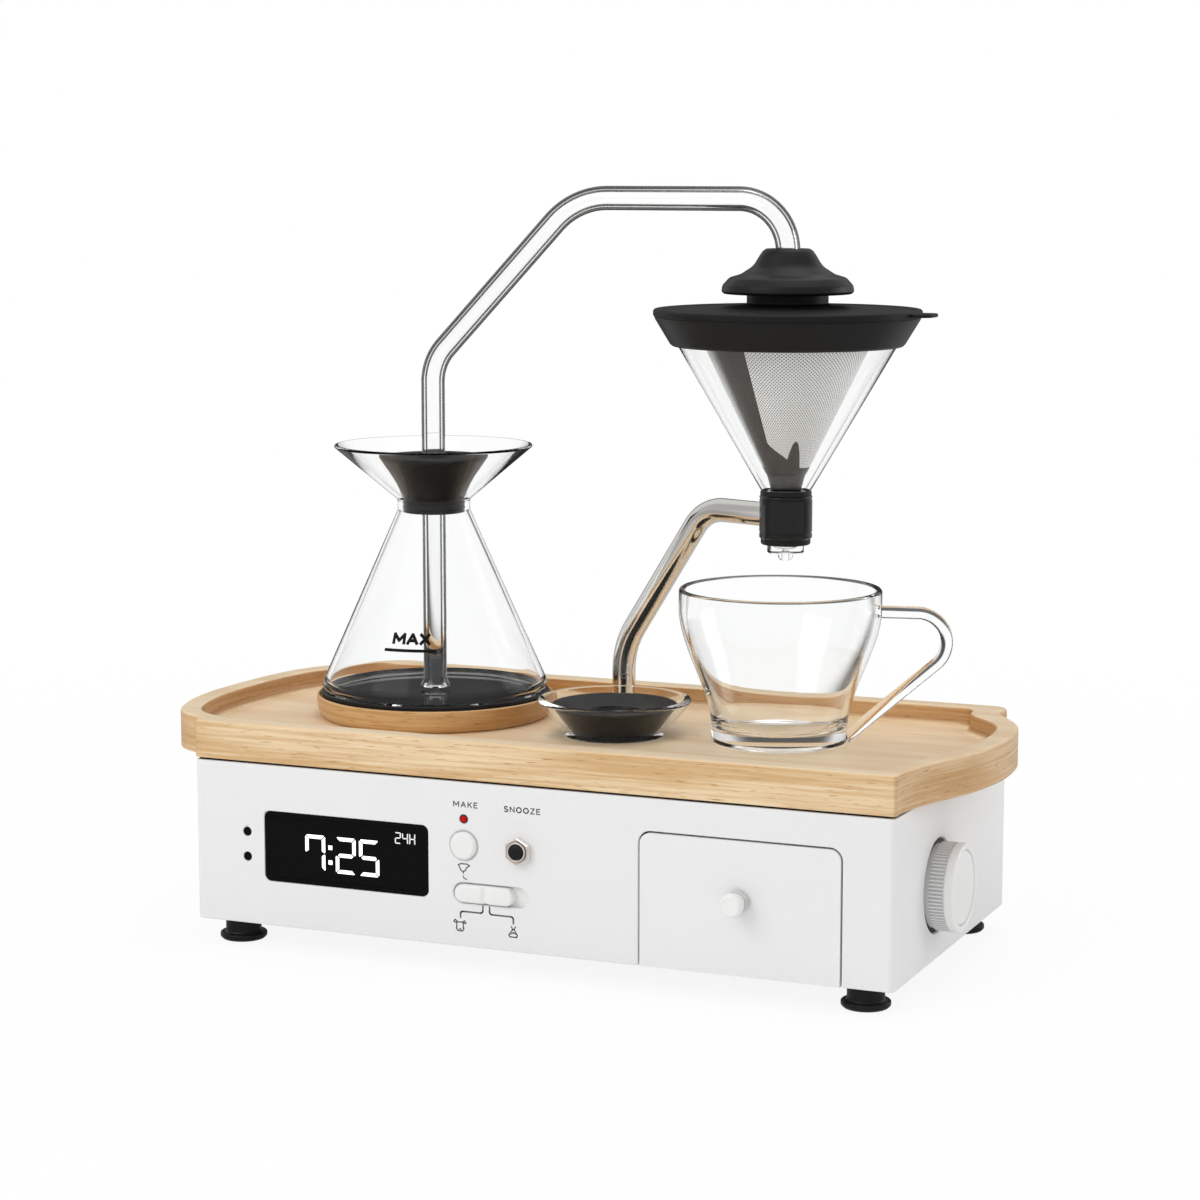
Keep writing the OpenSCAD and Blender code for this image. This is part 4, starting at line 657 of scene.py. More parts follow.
def weave_group():
    """Masks of fine diagonal wire cloth laid round an upright axis, with a solid seam and a solid tip, which
    the cloth's finish darkens partly as painted shade and reflection.
    """
    if "weave" not in GROUPS:
        group, source, sink = new_group("Wire cloth", (
            ("Axis X", "Float", 0.0), ("Axis Y", "Float", 0.0), ("Wires round", "Float", 120.0),
            ("Wires per metre", "Float", 760.0), ("Solid below", "Float", 0.0), ("Seam", "Float", -2.1)),
            (("Wire", "Float"), ("Solid", "Float"), ("Height", "Float")))
        split = add(group, "SeparateXYZ")
        group.links.new(add(group, "TexCoord").outputs["Object"], split.inputs[0])
        x = math_node(group, "SUBTRACT", split.outputs[0], source.outputs["Axis X"])
        y = math_node(group, "SUBTRACT", split.outputs[1], source.outputs["Axis Y"])
        turn = math_node(group, "ARCTAN2", y, x)
        around = math_node(group, "MULTIPLY", turn, source.outputs["Wires round"])
        rise = math_node(group, "MULTIPLY", split.outputs[2],
                         math_node(group, "MULTIPLY", source.outputs["Wires per metre"], 2 * math.pi))
        left = math_node(group, "SINE", math_node(group, "ADD", around, rise))
        right = math_node(group, "SINE", math_node(group, "SUBTRACT", around, rise))
        strands = math_node(group, "MAXIMUM", left, right)
        # Mask of the seam band and a spike beside it near the tip, darkened in the finish partly as painted
        # shade and reflection.
        over = math_node(group, "SUBTRACT", split.outputs[2], source.outputs["Solid below"])
        widen = ramp(group, over, 0.0, 0.011, 0.75, 0.0)
        off = math_node(group, "SUBTRACT", turn, source.outputs["Seam"])
        seam = math_node(group, "MULTIPLY", ramp(group, off, -0.42, -0.1), math_node(
            group, "LESS_THAN", off, math_node(group, "ADD", widen, 0.34)))
        beside = math_node(group, "ABSOLUTE", math_node(group, "SUBTRACT", off, 1.12))
        spike = math_node(group, "LESS_THAN", over, ramp(group, beside, 0.0, 0.36, 0.011, 0.0))
        solid = math_node(group, "MAXIMUM", seam, spike)
        group.links.new(ramp(group, strands, -0.25, 0.35), sink.inputs["Wire"])
        group.links.new(solid, sink.inputs["Solid"])
        group.links.new(strands, sink.inputs["Height"])
        GROUPS["weave"] = group
    return GROUPS["weave"]


def use_group(tree, group, **values):
    """A group placed in a material with its own values."""
    node = tree.nodes.new("ShaderNodeGroup")
    node.node_tree = group
    for key, value in values.items():
        node.inputs[key.replace("_", " ")].default_value = value
    return node


# Finishes

FINISHES = {}


def start_finish(name):
    made = bpy.data.materials.new(name)
    made.use_nodes = True
    return made, made.node_tree, made.node_tree.nodes["Principled BSDF"]


def relief(tree, height, shader, strength, depth):
    """A bump from a height socket on the shader's normal."""
    bump = add(tree, "Bump", Strength=strength, Distance=depth)
    tree.links.new(height, bump.inputs["Height"])
    tree.links.new(bump.outputs[0], shader.inputs["Normal"])


def moulded(name, colour, rough, tone=0.05, grain=1500.0, bump=0.08, wear_and_highlight=0.2, **sockets):
    """A painted, moulded or metal finish from the shared surface group."""
    made, tree, shader = start_finish(name)
    surface = use_group(tree, surface_group(), Colour=(*colour, 1), Tone=tone, Grain_scale=grain,
                        Rough_low=rough[0], Rough_high=rough[1], Wear=wear_and_highlight)
    tree.links.new(surface.outputs["Colour"], shader.inputs["Base Color"])
    tree.links.new(surface.outputs["Roughness"], shader.inputs["Roughness"])
    relief(tree, surface.outputs["Height"], shader, bump, 0.0001)
    for key, value in sockets.items():
        shader.inputs[key.replace("_", " ")].default_value = value
    return made


def wood(name, deeper=(1.0, 1.0, 1.0), inner=0.0):
    """Oiled beech, deepened by a tint, with painted shade inside hollows and painted light on its upward
    faces.
    """
    made, tree, shader = start_finish(name)
    tints = colours()
    light, dark, fleck = ((*(c * d for c, d in zip(tint, deeper)), 1)
                          for tint in (tints.beech_light, tints.beech_dark, tints.beech_fleck))
    # inner sets the painted shade inside hollows and, at 0.45 of it, the painted light on upward faces.
    grain = use_group(tree, beech_group(), Light=light, Dark=dark, Fleck=fleck, Inner_shade=inner,
                      Top_bloom=0.45 * inner)
    tree.links.new(grain.outputs["Colour"], shader.inputs["Base Color"])
    tree.links.new(grain.outputs["Roughness"], shader.inputs["Roughness"])
    relief(tree, grain.outputs["Height"], shader, 0.12, 0.0002)
    shader.inputs["Coat Weight"].default_value = 0.12
    shader.inputs["Coat Roughness"].default_value = 0.25
    return made


def glass(name, bending, edge=0.0):
    """Clear glass that lets lamp light through to what stands behind it, with painted dark edges if asked."""
    made, tree, shader = start_finish(name)
    surface = use_group(tree, surface_group(), Colour=(1, 1, 1, 1), Tone=0.01, Tone_scale=30.0,
                        Grain_scale=60.0, Rough_low=0.0, Rough_high=0.006, Wear=0.0)
    tree.links.new(surface.outputs["Roughness"], shader.inputs["Roughness"])
    shader.inputs["Base Color"].default_value = (0.985, 0.99, 0.988, 1)
    # Painted shade and reflection: the base colour turns dark where the surface is seen edge-on.
    if edge:
        facing = add(tree, "LayerWeight", Blend=0.5).outputs["Facing"]
        dark = ramp(tree, facing, 0.3, 0.4, 0.0, edge)
        tree.links.new(blend_colour(tree, dark, (0.985, 0.99, 0.988, 1), (0.01, 0.01, 0.01, 1)),
                       shader.inputs["Base Color"])
    shader.inputs["Transmission Weight"].default_value = 1.0
    shader.inputs["IOR"].default_value = bending
    shader.inputs["Specular IOR Level"].default_value = 0.2
    clear = add(tree, "BsdfTransparent")
    mix = add(tree, "MixShader")
    tree.links.new(add(tree, "LightPath").outputs["Is Shadow Ray"], mix.inputs[0])
    tree.links.new(shader.outputs[0], mix.inputs[1])
    tree.links.new(clear.outputs[0], mix.inputs[2])
    tree.links.new(mix.outputs[0], tree.nodes["Material Output"].inputs["Surface"])
    return made


def wire_cloth(name):
    made, tree, shader = start_finish(name)
    weave = use_group(tree, weave_group(), Axis_X=DRIP_AT.x * MM, Axis_Y=DRIP_AT.y * MM,
                      Solid_below=(low("mesh_filter").z + 9) * MM)
    surface = use_group(tree, surface_group(), Colour=(0.92, 0.92, 0.91, 1), Tone=0.1, Tone_scale=60.0,
                        Rough_low=0.32, Rough_high=0.45)
    # Painted shade: the holes between the wires are dark grey, standing in for the shaded inside seen through
    # them.
    cloth = blend_colour(tree, weave.outputs["Wire"], (0.1, 0.1, 0.1, 1), surface.outputs["Colour"])
    # The seam and the tip are near black: partly solid metal, partly painted shade and reflection.
    whole = blend_colour(tree, weave.outputs["Solid"], cloth, (0.062, 0.061, 0.06, 1))
    tree.links.new(whole, shader.inputs["Base Color"])
    tree.links.new(surface.outputs["Roughness"], shader.inputs["Roughness"])
    relief(tree, weave.outputs["Height"], shader, 0.3, 0.0001)
    shader.inputs["Metallic"].default_value = 0.08
    return made


def glowing(name, colour, strength, rough):
    """A lit surface whose brightness varies a little over its face."""
    made = moulded(name, colour, rough, tone=0.1, bump=0.02, wear_and_highlight=0.0)
    tree = made.node_tree
    shader = tree.nodes["Principled BSDF"]
    surface = use_group(tree, surface_group(), Colour=(*colour, 1), Tone=0.12, Tone_scale=120.0, Wear=0.0)
    tree.links.new(surface.outputs["Colour"], shader.inputs["Emission Color"])
    shader.inputs["Emission Strength"].default_value = strength
    shader.inputs["Specular IOR Level"].default_value = 0.1
    return made


def finish(slot):
    """The finish of one of the record's material slots, made when it is first used."""
    if slot in FINISHES:
        return FINISHES[slot]
    tints = colours()
    makers = {
        "white_body": lambda: moulded("white_body", tints.body, (0.4, 0.48), 0.025, 2600.0, 0.05),
        "white_plastic": lambda: moulded("white_plastic", tints.controls, (0.32, 0.4), 0.02, 1800.0, 0.03),
        "base_grey": lambda: moulded("base_grey", srgb(206, 206, 205), (0.45, 0.55), 0.06),
        # The tray's beech carries painted shade in its pocket and painted light on its tops.
        "beech": lambda: wood("beech", inner=0.95),
        "beech_ring": lambda: wood("beech_ring", (0.8, 0.68, 0.5)),
        "black_rubber": lambda: moulded("black_rubber", tints.rubber, (0.36, 0.46), 0.25, 1400.0, 0.08,
                                        Specular_IOR_Level=0.2),
        "lid_black": lambda: moulded("lid_black", tints.rubber, (0.5, 0.6), 0.25, 1400.0, 0.1,
                                     Specular_IOR_Level=0.15),
        "display_black": lambda: moulded("display_black", srgb(11, 11, 11), (0.1, 0.16), 0.1, 300.0, 0.005,
                                         0.05, Specular_IOR_Level=0.08),
        "nut_steel": lambda: moulded("nut_steel", (0.86, 0.80, 0.74), (0.14, 0.2), 0.02, 900.0, 0.004,
                                     Metallic=1.0),
        "black_gloss": lambda: moulded("black_gloss", tints.gloss, (0.06, 0.11), 0.1, 300.0, 0.005, 0.05,
                                       Specular_IOR_Level=0.45),
        "black_plastic": lambda: moulded("black_plastic", srgb(20, 20, 20), (0.3, 0.4), 0.15),
        "heater_black": lambda: moulded("heater_black", srgb(24, 24, 25), (0.3, 0.4), 0.2, 900.0, 0.04,
                                        Specular_IOR_Level=0.0),
        "thin_glass": lambda: glass("thin_glass", 1.16),
        "cup_clear": lambda: glass("cup_clear", 1.34),
        "tube_glass": lambda: glass("tube_glass", 1.45, 1.0),
        "polished_steel": lambda: moulded("polished_steel", tints.steel, (0.08, 0.14), 0.04, 700.0, 0.01,
                                          Metallic=1.0),
        "screw_steel": lambda: moulded("screw_steel", (0.62, 0.61, 0.6), (0.25, 0.4), 0.1, Metallic=1.0),
        "steel_mesh": lambda: wire_cloth("steel_mesh"),
        "aluminium": lambda: moulded("aluminium", (0.72, 0.72, 0.73), (0.3, 0.42), 0.08, Metallic=1.0),
        "ceramic_white": lambda: moulded("ceramic_white", srgb(236, 234, 228), (0.25, 0.35), 0.04),
        "board_green": lambda: moulded("board_green", srgb(24, 92, 54), (0.35, 0.5), 0.2, 500.0, 0.1),
        "copper": lambda: moulded("copper", (0.72, 0.36, 0.2), (0.25, 0.4), 0.15, Metallic=1.0),
        "led_red": lambda: glowing("led_red", tints.lamp, 0.08, (0.1, 0.2)),
        "digit_light": lambda: glowing("digit_light", (1, 1, 1), 1.0, (0.3, 0.4)),
        "digit_dim": lambda: glowing("digit_dim", (0.6, 0.6, 0.6), 0.7, (0.3, 0.4)),
        # Grey for the painted shade in the side knob's rib valleys.
        "rib_valley_shade": lambda: moulded("rib_valley_shade", srgb(206, 206, 206), (0.4, 0.5), 0.04),
        "panel_ink": lambda: moulded("panel_ink", tints.ink, (0.5, 0.6), 0.1, 2500.0, 0.05, 0.0),
        "level_ink": lambda: moulded("level_ink", srgb(10, 10, 10), (0.4, 0.5), 0.1, 2500.0, 0.05, 0.0,
                                     Specular_IOR_Level=0.1),
    }
    FINISHES[slot] = makers[slot]()
    return FINISHES[slot]


# Operators

class COFFEECLOCK_OT_stage(bpy.types.Operator):
    """Camera, lamps, white room and pale floor"""
    bl_idname = "coffeeclock.stage"
    bl_label = "Stage"
    bl_options = {"REGISTER"}

    def execute(self, context):
        scene = context.scene
        scene.view_settings.view_transform = "Standard"
        setting = scene.clock_stage
        data = bpy.data.cameras.new("Camera")
        data.lens = setting.lens
        data.sensor_width = 36
        data.clip_start = 0.05
        data.clip_end = 100
        camera = bpy.data.objects.new("Camera", data)
        camera.location = setting.eye
        camera.rotation_euler = (math.radians(90) - setting.tilt, 0, setting.turn)
        scene.collection.objects.link(camera)
        scene.camera = camera
        self.lamp("Key lamp", (-0.75, -1.35, 1.25), setting.key, 1.3)
        self.lamp("Fill lamp", (0.72, 0.5, 0.36), setting.fill, 0.4)
        self.lamp("Overhead lamp", (0.1, 0.25, 1.7), setting.overhead, 1.2)
        self.room(setting)
        self.floor(setting)
        return {"FINISHED"}

    def lamp(self, name, place, power, size):
        data = bpy.data.lights.new(name, "AREA")
        data.energy = power
        data.size = size
        lamp = bpy.data.objects.new(name, data)
        lamp.location = place
        lamp.rotation_euler = (Vector(place) - Vector((0, 0, 0.12))).to_track_quat("Z", "Y").to_euler()
        bpy.context.scene.collection.objects.link(lamp)

    def ahead_of(self, tree, direction, setting):
        """How far a direction points away from the camera, 1 for straight ahead."""
        split = add(tree, "SeparateXYZ")
        tree.links.new(direction, split.inputs[0])
        return math_node(tree, "MULTIPLY_ADD", split.outputs[0], -math.sin(setting.turn), math_node(
            tree, "MULTIPLY", split.outputs[1], math.cos(setting.turn)))

    def through_glass(self, tree, ahead, setting):
        """White straight ahead, a dark belt round it that draws the edges of glass, and pale sides."""
        belt = math_node(tree, "MULTIPLY", ramp(tree, ahead, 0.5, 0.7),
                         ramp(tree, ahead, 0.875, 0.93, 1.0, 0.0))
        pale = ramp(tree, ahead, 0.5, 0.7, setting.side_tone, 1.0)
        return math_node(tree, "MULTIPLY", pale,
                         math_node(tree, "MULTIPLY_ADD", belt, setting.belt_tone - 1.0, 1.0))

    def in_metal(self, tree, ahead, setting):
        """Pale at a slant and behind the camera, darker straight ahead and at the sides."""
        belt = math_node(tree, "MULTIPLY", ramp(tree, ahead, -0.25, -0.1),
                         ramp(tree, ahead, 0.15, 0.35, 1.0, 0.0))
        pale = math_node(tree, "MULTIPLY_ADD", belt, 0.5 - setting.front_tone, setting.front_tone)
        return math_node(tree, "MULTIPLY", pale, ramp(tree, ahead, 0.84, 0.95, 1.0, 0.12))

    def room(self, setting):
        """White for the camera, tones for glass and metal, and a modest even light for the rest."""
        world = bpy.data.worlds.new("White room")
        bpy.context.scene.world = world
        world.use_nodes = True
        tree = world.node_tree
        tree.nodes.clear()
        path = add(tree, "LightPath")
        even = add(tree, "Background", Color=(1, 1, 1, 1), Strength=setting.ambient)
        white = add(tree, "Background", Color=(1, 1, 1, 1), Strength=1.0)
        ahead = self.ahead_of(tree, add(tree, "TexCoord").outputs["Generated"], setting)
        clear = self.through_glass(tree, ahead, setting)
        mirrored = self.in_metal(tree, ahead, setting)
        change = math_node(tree, "SUBTRACT", clear, mirrored)
        straight = math_node(tree, "LESS_THAN", path.outputs["Glossy Depth"], 0.5)
        direct = math_node(tree, "MULTIPLY", path.outputs["Is Transmission Ray"], straight)
        level = math_node(tree, "MULTIPLY_ADD", change, direct, mirrored)
        tone = add(tree, "CombineColor")
        for socket in tone.inputs:
            tree.links.new(level, socket)
        seen = add(tree, "Background", Strength=1.0)
        tree.links.new(tone.outputs[0], seen.inputs["Color"])
        bright = math_node(tree, "MAXIMUM", path.outputs["Is Glossy Ray"],
                           path.outputs["Is Transmission Ray"])
        first = add(tree, "MixShader")
        tree.links.new(bright, first.inputs[0])
        tree.links.new(even.outputs[0], first.inputs[1])
        tree.links.new(seen.outputs[0], first.inputs[2])
        second = add(tree, "MixShader")
        tree.links.new(path.outputs["Is Camera Ray"], second.inputs[0])
        tree.links.new(first.outputs[0], second.inputs[1])
        tree.links.new(white.outputs[0], second.inputs[2])
        out = add(tree, "OutputWorld")
        tree.links.new(second.outputs[0], out.inputs["Surface"])

    def floor(self, setting):
        """A pale floor that reads white and keeps a soft shadow."""
        bm = bmesh.new()
        bmesh.ops.create_grid(bm, x_segments=2, y_segments=2, size=30)
        mesh = bpy.data.meshes.new("floor")
        bm.to_mesh(mesh)
        bm.free()
        floor = bpy.data.objects.new("floor", mesh)
        floor.location.z = -0.0002
        bpy.context.scene.collection.objects.link(floor)
        made, tree, shader = start_finish("floor_white")
        tree.nodes.remove(shader)
        path = add(tree, "LightPath")
        matte = add(tree, "BsdfDiffuse", Color=(0.95, 0.95, 0.95, 1))
        white = add(tree, "Emission", Color=(1, 1, 1, 1), Strength=1.0)
        dim = add(tree, "Emission", Color=(1, 1, 1, 1), Strength=0.6)
        seen = math_node(tree, "MAXIMUM", path.outputs["Is Camera Ray"], path.outputs["Is Transmission Ray"])
        mix = add(tree, "MixShader")
        away = add(tree, "VectorMath", operation="LENGTH")
        where = add(tree, "TexCoord").outputs["Object"]
        tree.links.new(where, away.inputs[0])
        sight = add(tree, "VectorMath", operation="SUBTRACT")
        tree.links.new(where, sight.inputs[0])
        sight.inputs[1].default_value = (0, 0, 0.17)
        line = add(tree, "VectorMath", operation="NORMALIZE")
        tree.links.new(sight.outputs[0], line.inputs[0])
        ahead = self.ahead_of(tree, line.outputs[0], setting)
        tree.links.new(math_node(tree, "MULTIPLY", self.in_metal(tree, ahead, setting), 0.8),
                       dim.inputs["Strength"])
        clear = self.through_glass(tree, ahead, setting)
        drop = math_node(tree, "SUBTRACT", clear, 1.0)
        straight = math_node(tree, "LESS_THAN", path.outputs["Glossy Depth"], 0.5)
        direct = math_node(tree, "MULTIPLY", path.outputs["Is Transmission Ray"], straight)
        tree.links.new(math_node(tree, "MULTIPLY_ADD", drop, direct, 1.0), white.inputs["Strength"])
        paper = ramp(tree, away.outputs["Value"], 0.25, 0.8, 0.9, 1.0)
        tree.links.new(math_node(tree, "MULTIPLY", seen, paper), mix.inputs[0])
        tree.links.new(matte.outputs[0], mix.inputs[1])
        tree.links.new(white.outputs[0], mix.inputs[2])
        mirror = add(tree, "MixShader")
        through = math_node(tree, "SUBTRACT", 1.0, path.outputs["Is Transmission Ray"])
        tree.links.new(math_node(tree, "MULTIPLY", path.outputs["Is Glossy Ray"], through), mirror.inputs[0])
        tree.links.new(mix.outputs[0], mirror.inputs[1])
        tree.links.new(dim.outputs[0], mirror.inputs[2])
        tree.links.new(mirror.outputs[0], tree.nodes["Material Output"].inputs["Surface"])
        mesh.materials.append(made)


class COFFEECLOCK_OT_body(bpy.types.Operator):
    """Housing, base plate, feet and drawer"""
    bl_idname = "coffeeclock.body"
    bl_label = "Clock body"
    bl_options = {"REGISTER"}

    def execute(self, context):
        edge = shape().body_edge
        dressed("housing", finish("white_body"), edge)
        dressed("base_plate", finish("base_grey"), edge / 2)
        dressed("drawer", finish("white_body"))
        self.feet()
        self.drawer_knob()
        return {"FINISHED"}

    def feet(self):
        corner = low("feet")
        far = high("feet")
        inset = 9.5
        top = low("housing").z
        stem = far.z
        profile = [(0, 0), (8.5, 0, 0.5), (9.5, 1, 0.8), (9.5, 2.4, 0.5), (9.0, 2.8, 0.4), (7.6, 2.8, 0.5),
                   (7.2, 3.6, 0.4), (7.2, top - 1.4, 0.3), (6.9, top - 1.1, 0.1), (6.9, top, 0.1), (3.6, top),
                   (3.6, top + 2.5), (5.0, top + 2.5, 0.2), (3.0, stem, 0.3), (0, stem)]
        joined = bmesh.new()
        for x in (corner.x + inset, far.x - inset):
            for y in (corner.y + inset, far.y - inset):
                part = turned(profile, (x, y, 0), segments=96)
                joined.from_mesh(part)
                bpy.data.meshes.remove(part)
        piece("clock_feet", sealed(joined), finish("black_rubber"), "base", ("feet",))

    def drawer_knob(self):
        at = middle("drawer_knob")
        at.y = high("drawer_knob").y
        profile = [(0, 9.75), (3.0, 9.8, 1), (3.6, 10, 0.4), (4.5, 8.9, 0.5), (4.5, 6.4, 0.5),
                   (3.7, 5.8, 0.4), (3.6, 3.12, 0.2), (1.4, 3.12), (1.4, 6), (0, 6)]
        # The flange is grey: painted shade at the knob's foot.
        flange = [(1.42, 0), (3.4, 0), (3.4, 0.9, 0.1), (4.5, 1.0, 0.2), (4.5, 2.7, 0.3), (4.2, 3.1, 0.3),
                  (1.42, 3.1)]
        piece("pull_flange", turned(flange, at, TO_FRONT, 96), finish("base_grey"), "drawer")
        piece("drawer_pull", turned(profile, at, TO_FRONT, 96), finish("white_plastic"), "drawer",
              ("drawer_knob",))


class COFFEECLOCK_OT_tray(bpy.types.Operator):
    """Beech tray, coaster and heater plate"""
    bl_idname = "coffeeclock.tray"
    bl_label = "Tray"
    bl_options = {"REGISTER"}

    def execute(self, context):
        self.board()
        self.dark_gap()
        rim = high("coaster").x - FLASK_AT.x
        tall = high("coaster").z - FLOOR_Z
        lip = tall + 1.3
        at = (FLASK_AT.x, FLASK_AT.y, FLOOR_Z)
        bowl = [(rim - 3.2 + 3.2 * math.sin(a), tall * 0.85 * (1 - math.cos(a)))
                for a in (math.radians(90 * k / 10) for k in range(11))]
        profile = ([(44.1, 0)] + [(bowl[0][0], 0, 0.5)] + bowl[1:]
                   + [(rim, lip - 0.3, 0.8), (rim - 0.6, lip, 0.7), (48.8, lip, 0.4), (48.3, lip - 0.5, 0.3),
                      (48.2, tall, 0.2), (44.1, tall - 0.5, 0.2)])
        piece("coaster_ring", turned(profile, at), finish("beech_ring"), "base", ("coaster",))
        self.heater()
        return {"FINISHED"}

    def side_line(self, points, side):
        """Smooth line along one end of the tray from (depth from the front, reach over the end)."""
        return [(side * (reach - low("housing").x), FRONT_Y + depth) for depth, reach in smooth_line(points)]

    def outer_plan(self):
        """Outline of the tray from above, anticlockwise from the front left."""
        end, back = low("housing").x, high("tray").y
        right = self.side_line([(7, 0), (20, 2.4), (32, 6.3), (44, 10.7), (56, 14.3), (68, 16.6), (80, 17.8),
                                (92, 17.8), (104, 16.8), (114, 14.6), (122, 11.2), (129, 7), (135, 2.9),
                                (139.5, 0.2), (143.5, -0.9), (148.5, -0.2)], 1)
        left = self.side_line([(149.5, 0), (147.3, 2.6), (144, 7.5), (138.5, 13.6), (130, 18.4), (119, 22.4),
                               (107, 24.6), (94, 26.2), (80, 27.3), (66, 27.8), (54, 27.2), (42, 25.5),
                               (33, 23.3), (25, 20.5), (18, 16.8), (12.5, 12), (8.5, 5.4), (4.8, -1.3)], -1)
        corners = []
        front = [(end, FRONT_Y + 30), (end, FRONT_Y), (-end, FRONT_Y), (-end, FRONT_Y + 30)]
        for i in (1, 2):
            corners += arc_corner(front[i - 1], front[i], front[i + 1], 1.5, 4)
        rear = [(-end, back - 30), (-end, back), (end, back), (end, back - 30)]
        far = arc_corner(rear[0], rear[1], rear[2], 7, 8) + arc_corner(rear[1], rear[2], rear[3], 5.5, 8)
        return corners + right + far + left + [(end, FRONT_Y + 3.8)]

    def pocket_plan(self):
        """Outline of the tray's pocket from above, anticlockwise from the front left."""
        right = self.side_line([(9.3, -14), (9.5, -11), (11, -8.9), (20, -6.2), (32, -2.2), (44, 1.9),
                                (56, 5.3), (68, 7.7), (80, 8.8), (92, 8.8), (104, 7.8), (112, 5.8),
                                (118, 2.8), (123.5, -1.6), (128.5, -6.6), (133.5, -10.4), (138, -12),
                                (142, -12.4), (145.4, -14.4), (146.8, -18), (147, -23)], 1)
        left = self.side_line([(147, -24), (146, -14), (142.5, -6), (137, 1.5), (129, 8), (119, 12.6),
                               (107, 15.3), (94, 17.1), (80, 18.2), (66, 18.6), (54, 18), (42, 16.2),
                               (33, 13.8), (25.6, 10.9), (19.8, 7.2), (15.6, 2.5), (12.6, -3), (10.6, -8),
                               (9.7, -11.4)], -1)
        bite = [(8.3, -12.4), (8.1, -13.6), (8.5, -14.9), (9.3, -16.2)]
        return right + left + [(low("housing").x - reach, FRONT_Y + depth) for depth, reach in bite]

    def board(self):
        """Tray with rounded rims, a coved pocket, a shadow step under it and its round and screw holes."""
        bottom, top = low("tray").z, high("tray").z
        edge, cove, step = shape().tray_edge / MM, 3.0, 0.8
        bm = bmesh.new()

        def rings(loop, levels):
            made = [[bm.verts.new(Vector((x, y, z)) * MM) for x, y in shifted(loop, inset)]
                    for inset, z in levels]
            skin(bm, made)
            return made[0], made[-1]

        def fill(*loops):
            edges = [bm.edges.get((a, b)) or bm.edges.new((a, b)) for loop in loops
                     for a, b in zip(loop, loop[1:] + loop[:1])]
            bmesh.ops.triangle_fill(bm, use_beauty=True, use_dissolve=False, edges=edges)

        quarter = [math.radians(22.5 * k) for k in range(5)]
        rim = [(edge * (1 - math.cos(a)), top - edge * (1 - math.sin(a))) for a in quarter]
        foot, brim = rings(self.outer_plan(),
                           [(0.5, bottom + step), (0.15, bottom + step + 0.15),
                            (0, bottom + step + 0.5)] + rim)
        lip, ground = rings(self.pocket_plan(), [(-inset, z) for inset, z in reversed(rim)] + [
            (cove * (1 - math.cos(a)), FLOOR_Z + cove * (1 - math.sin(a))) for a in quarter])
        fill(brim, lip)
        reveal = self.reveal()
        hidden, under = rings(reveal, [(0, bottom + step), (0, bottom)])
        fill(foot, hidden)
        arm = low("support_arm")
        tops, feet = [], []
        for x, y, radius in ((FLASK_AT.x, FLASK_AT.y, high("heater_pan").x - FLASK_AT.x + 0.1),
                             (middle("milk_vessel").x, middle("milk_vessel").y, 20.0),
                             (arm.x + 4.8, high("support_arm").y - 4.8, 4.9)):
            first, last = rings(circle_loop(x, y, radius), [(0, FLOOR_Z), (0, bottom)])
            tops.append(first)
            feet.append(last)
        for x in (117.5, -117.5):
            for y in (-54.0, 58.0):
                first, last = rings(circle_loop(x, y, 1.3, 24), [(0, bottom + 5), (0, bottom)])
                bm.faces.new(first)
                feet.append(last)
        fill(ground, *tops)
        fill(under, *feet)
        made = piece("tray_board", sealed(bm), finish("beech"), "base", ("tray",), 30)
        made.modifiers.new("Even shading", "WEIGHTED_NORMAL").keep_sharp = True

    def reveal(self, grow=0.0):
        """Line of the step under the tray, set back from the housing's sides."""
        wide = high("housing").x - low("housing").x - 3.2 + 2 * grow
        deep = high("housing").y - low("housing").y - 3.2 + 2 * grow
        return [(x, middle("housing").y + y) for x, y in corner_loop(wide, deep, 0.9 + grow)]

    def dark_gap(self):
        """Thin black strip in the gap between tray and housing: painted shadow in the gap."""
        bottom = low("tray").z
        bm = bmesh.new()
        rings = [[bm.verts.new(Vector((x, y, z)) * MM) for x, y in self.reveal(grow)]
                 for grow, z in ((0.03, bottom + 0.04), (0.03, bottom + 0.74), (0.45, bottom + 0.74),
                                 (0.45, bottom + 0.04))]
        skin(bm, rings, closed=True)
        piece("tray_gap_shadow", sealed(bm), finish("black_rubber"), "base")

    def heater(self):
        at = (FLASK_AT.x, FLASK_AT.y, low("heater_plate").z)
        top = high("heater_plate").z - low("heater_plate").z
        profile = [(0, 0), (44, 0, 0.2), (44, top, 0.6), (41.5, top, 0.2), (41.2, top - 0.4, 0.2),
                   (40.4, top - 0.4, 0.2), (40.1, top, 0.2), (31.2, top, 0.2), (30.8, top - 0.5, 0.3),
                   (11, top - 0.5, 0.2), (10.7, top - 0.8, 0.2), (0, top - 0.8)]
        piece("heater_disc", turned(profile, at), finish("heater_black"), "base", ("heater_plate",))


SEGMENTS = {"7": "fabc", "2": "abged", "5": "afgcd", "4": "fgbc", "H": "fegbc"}


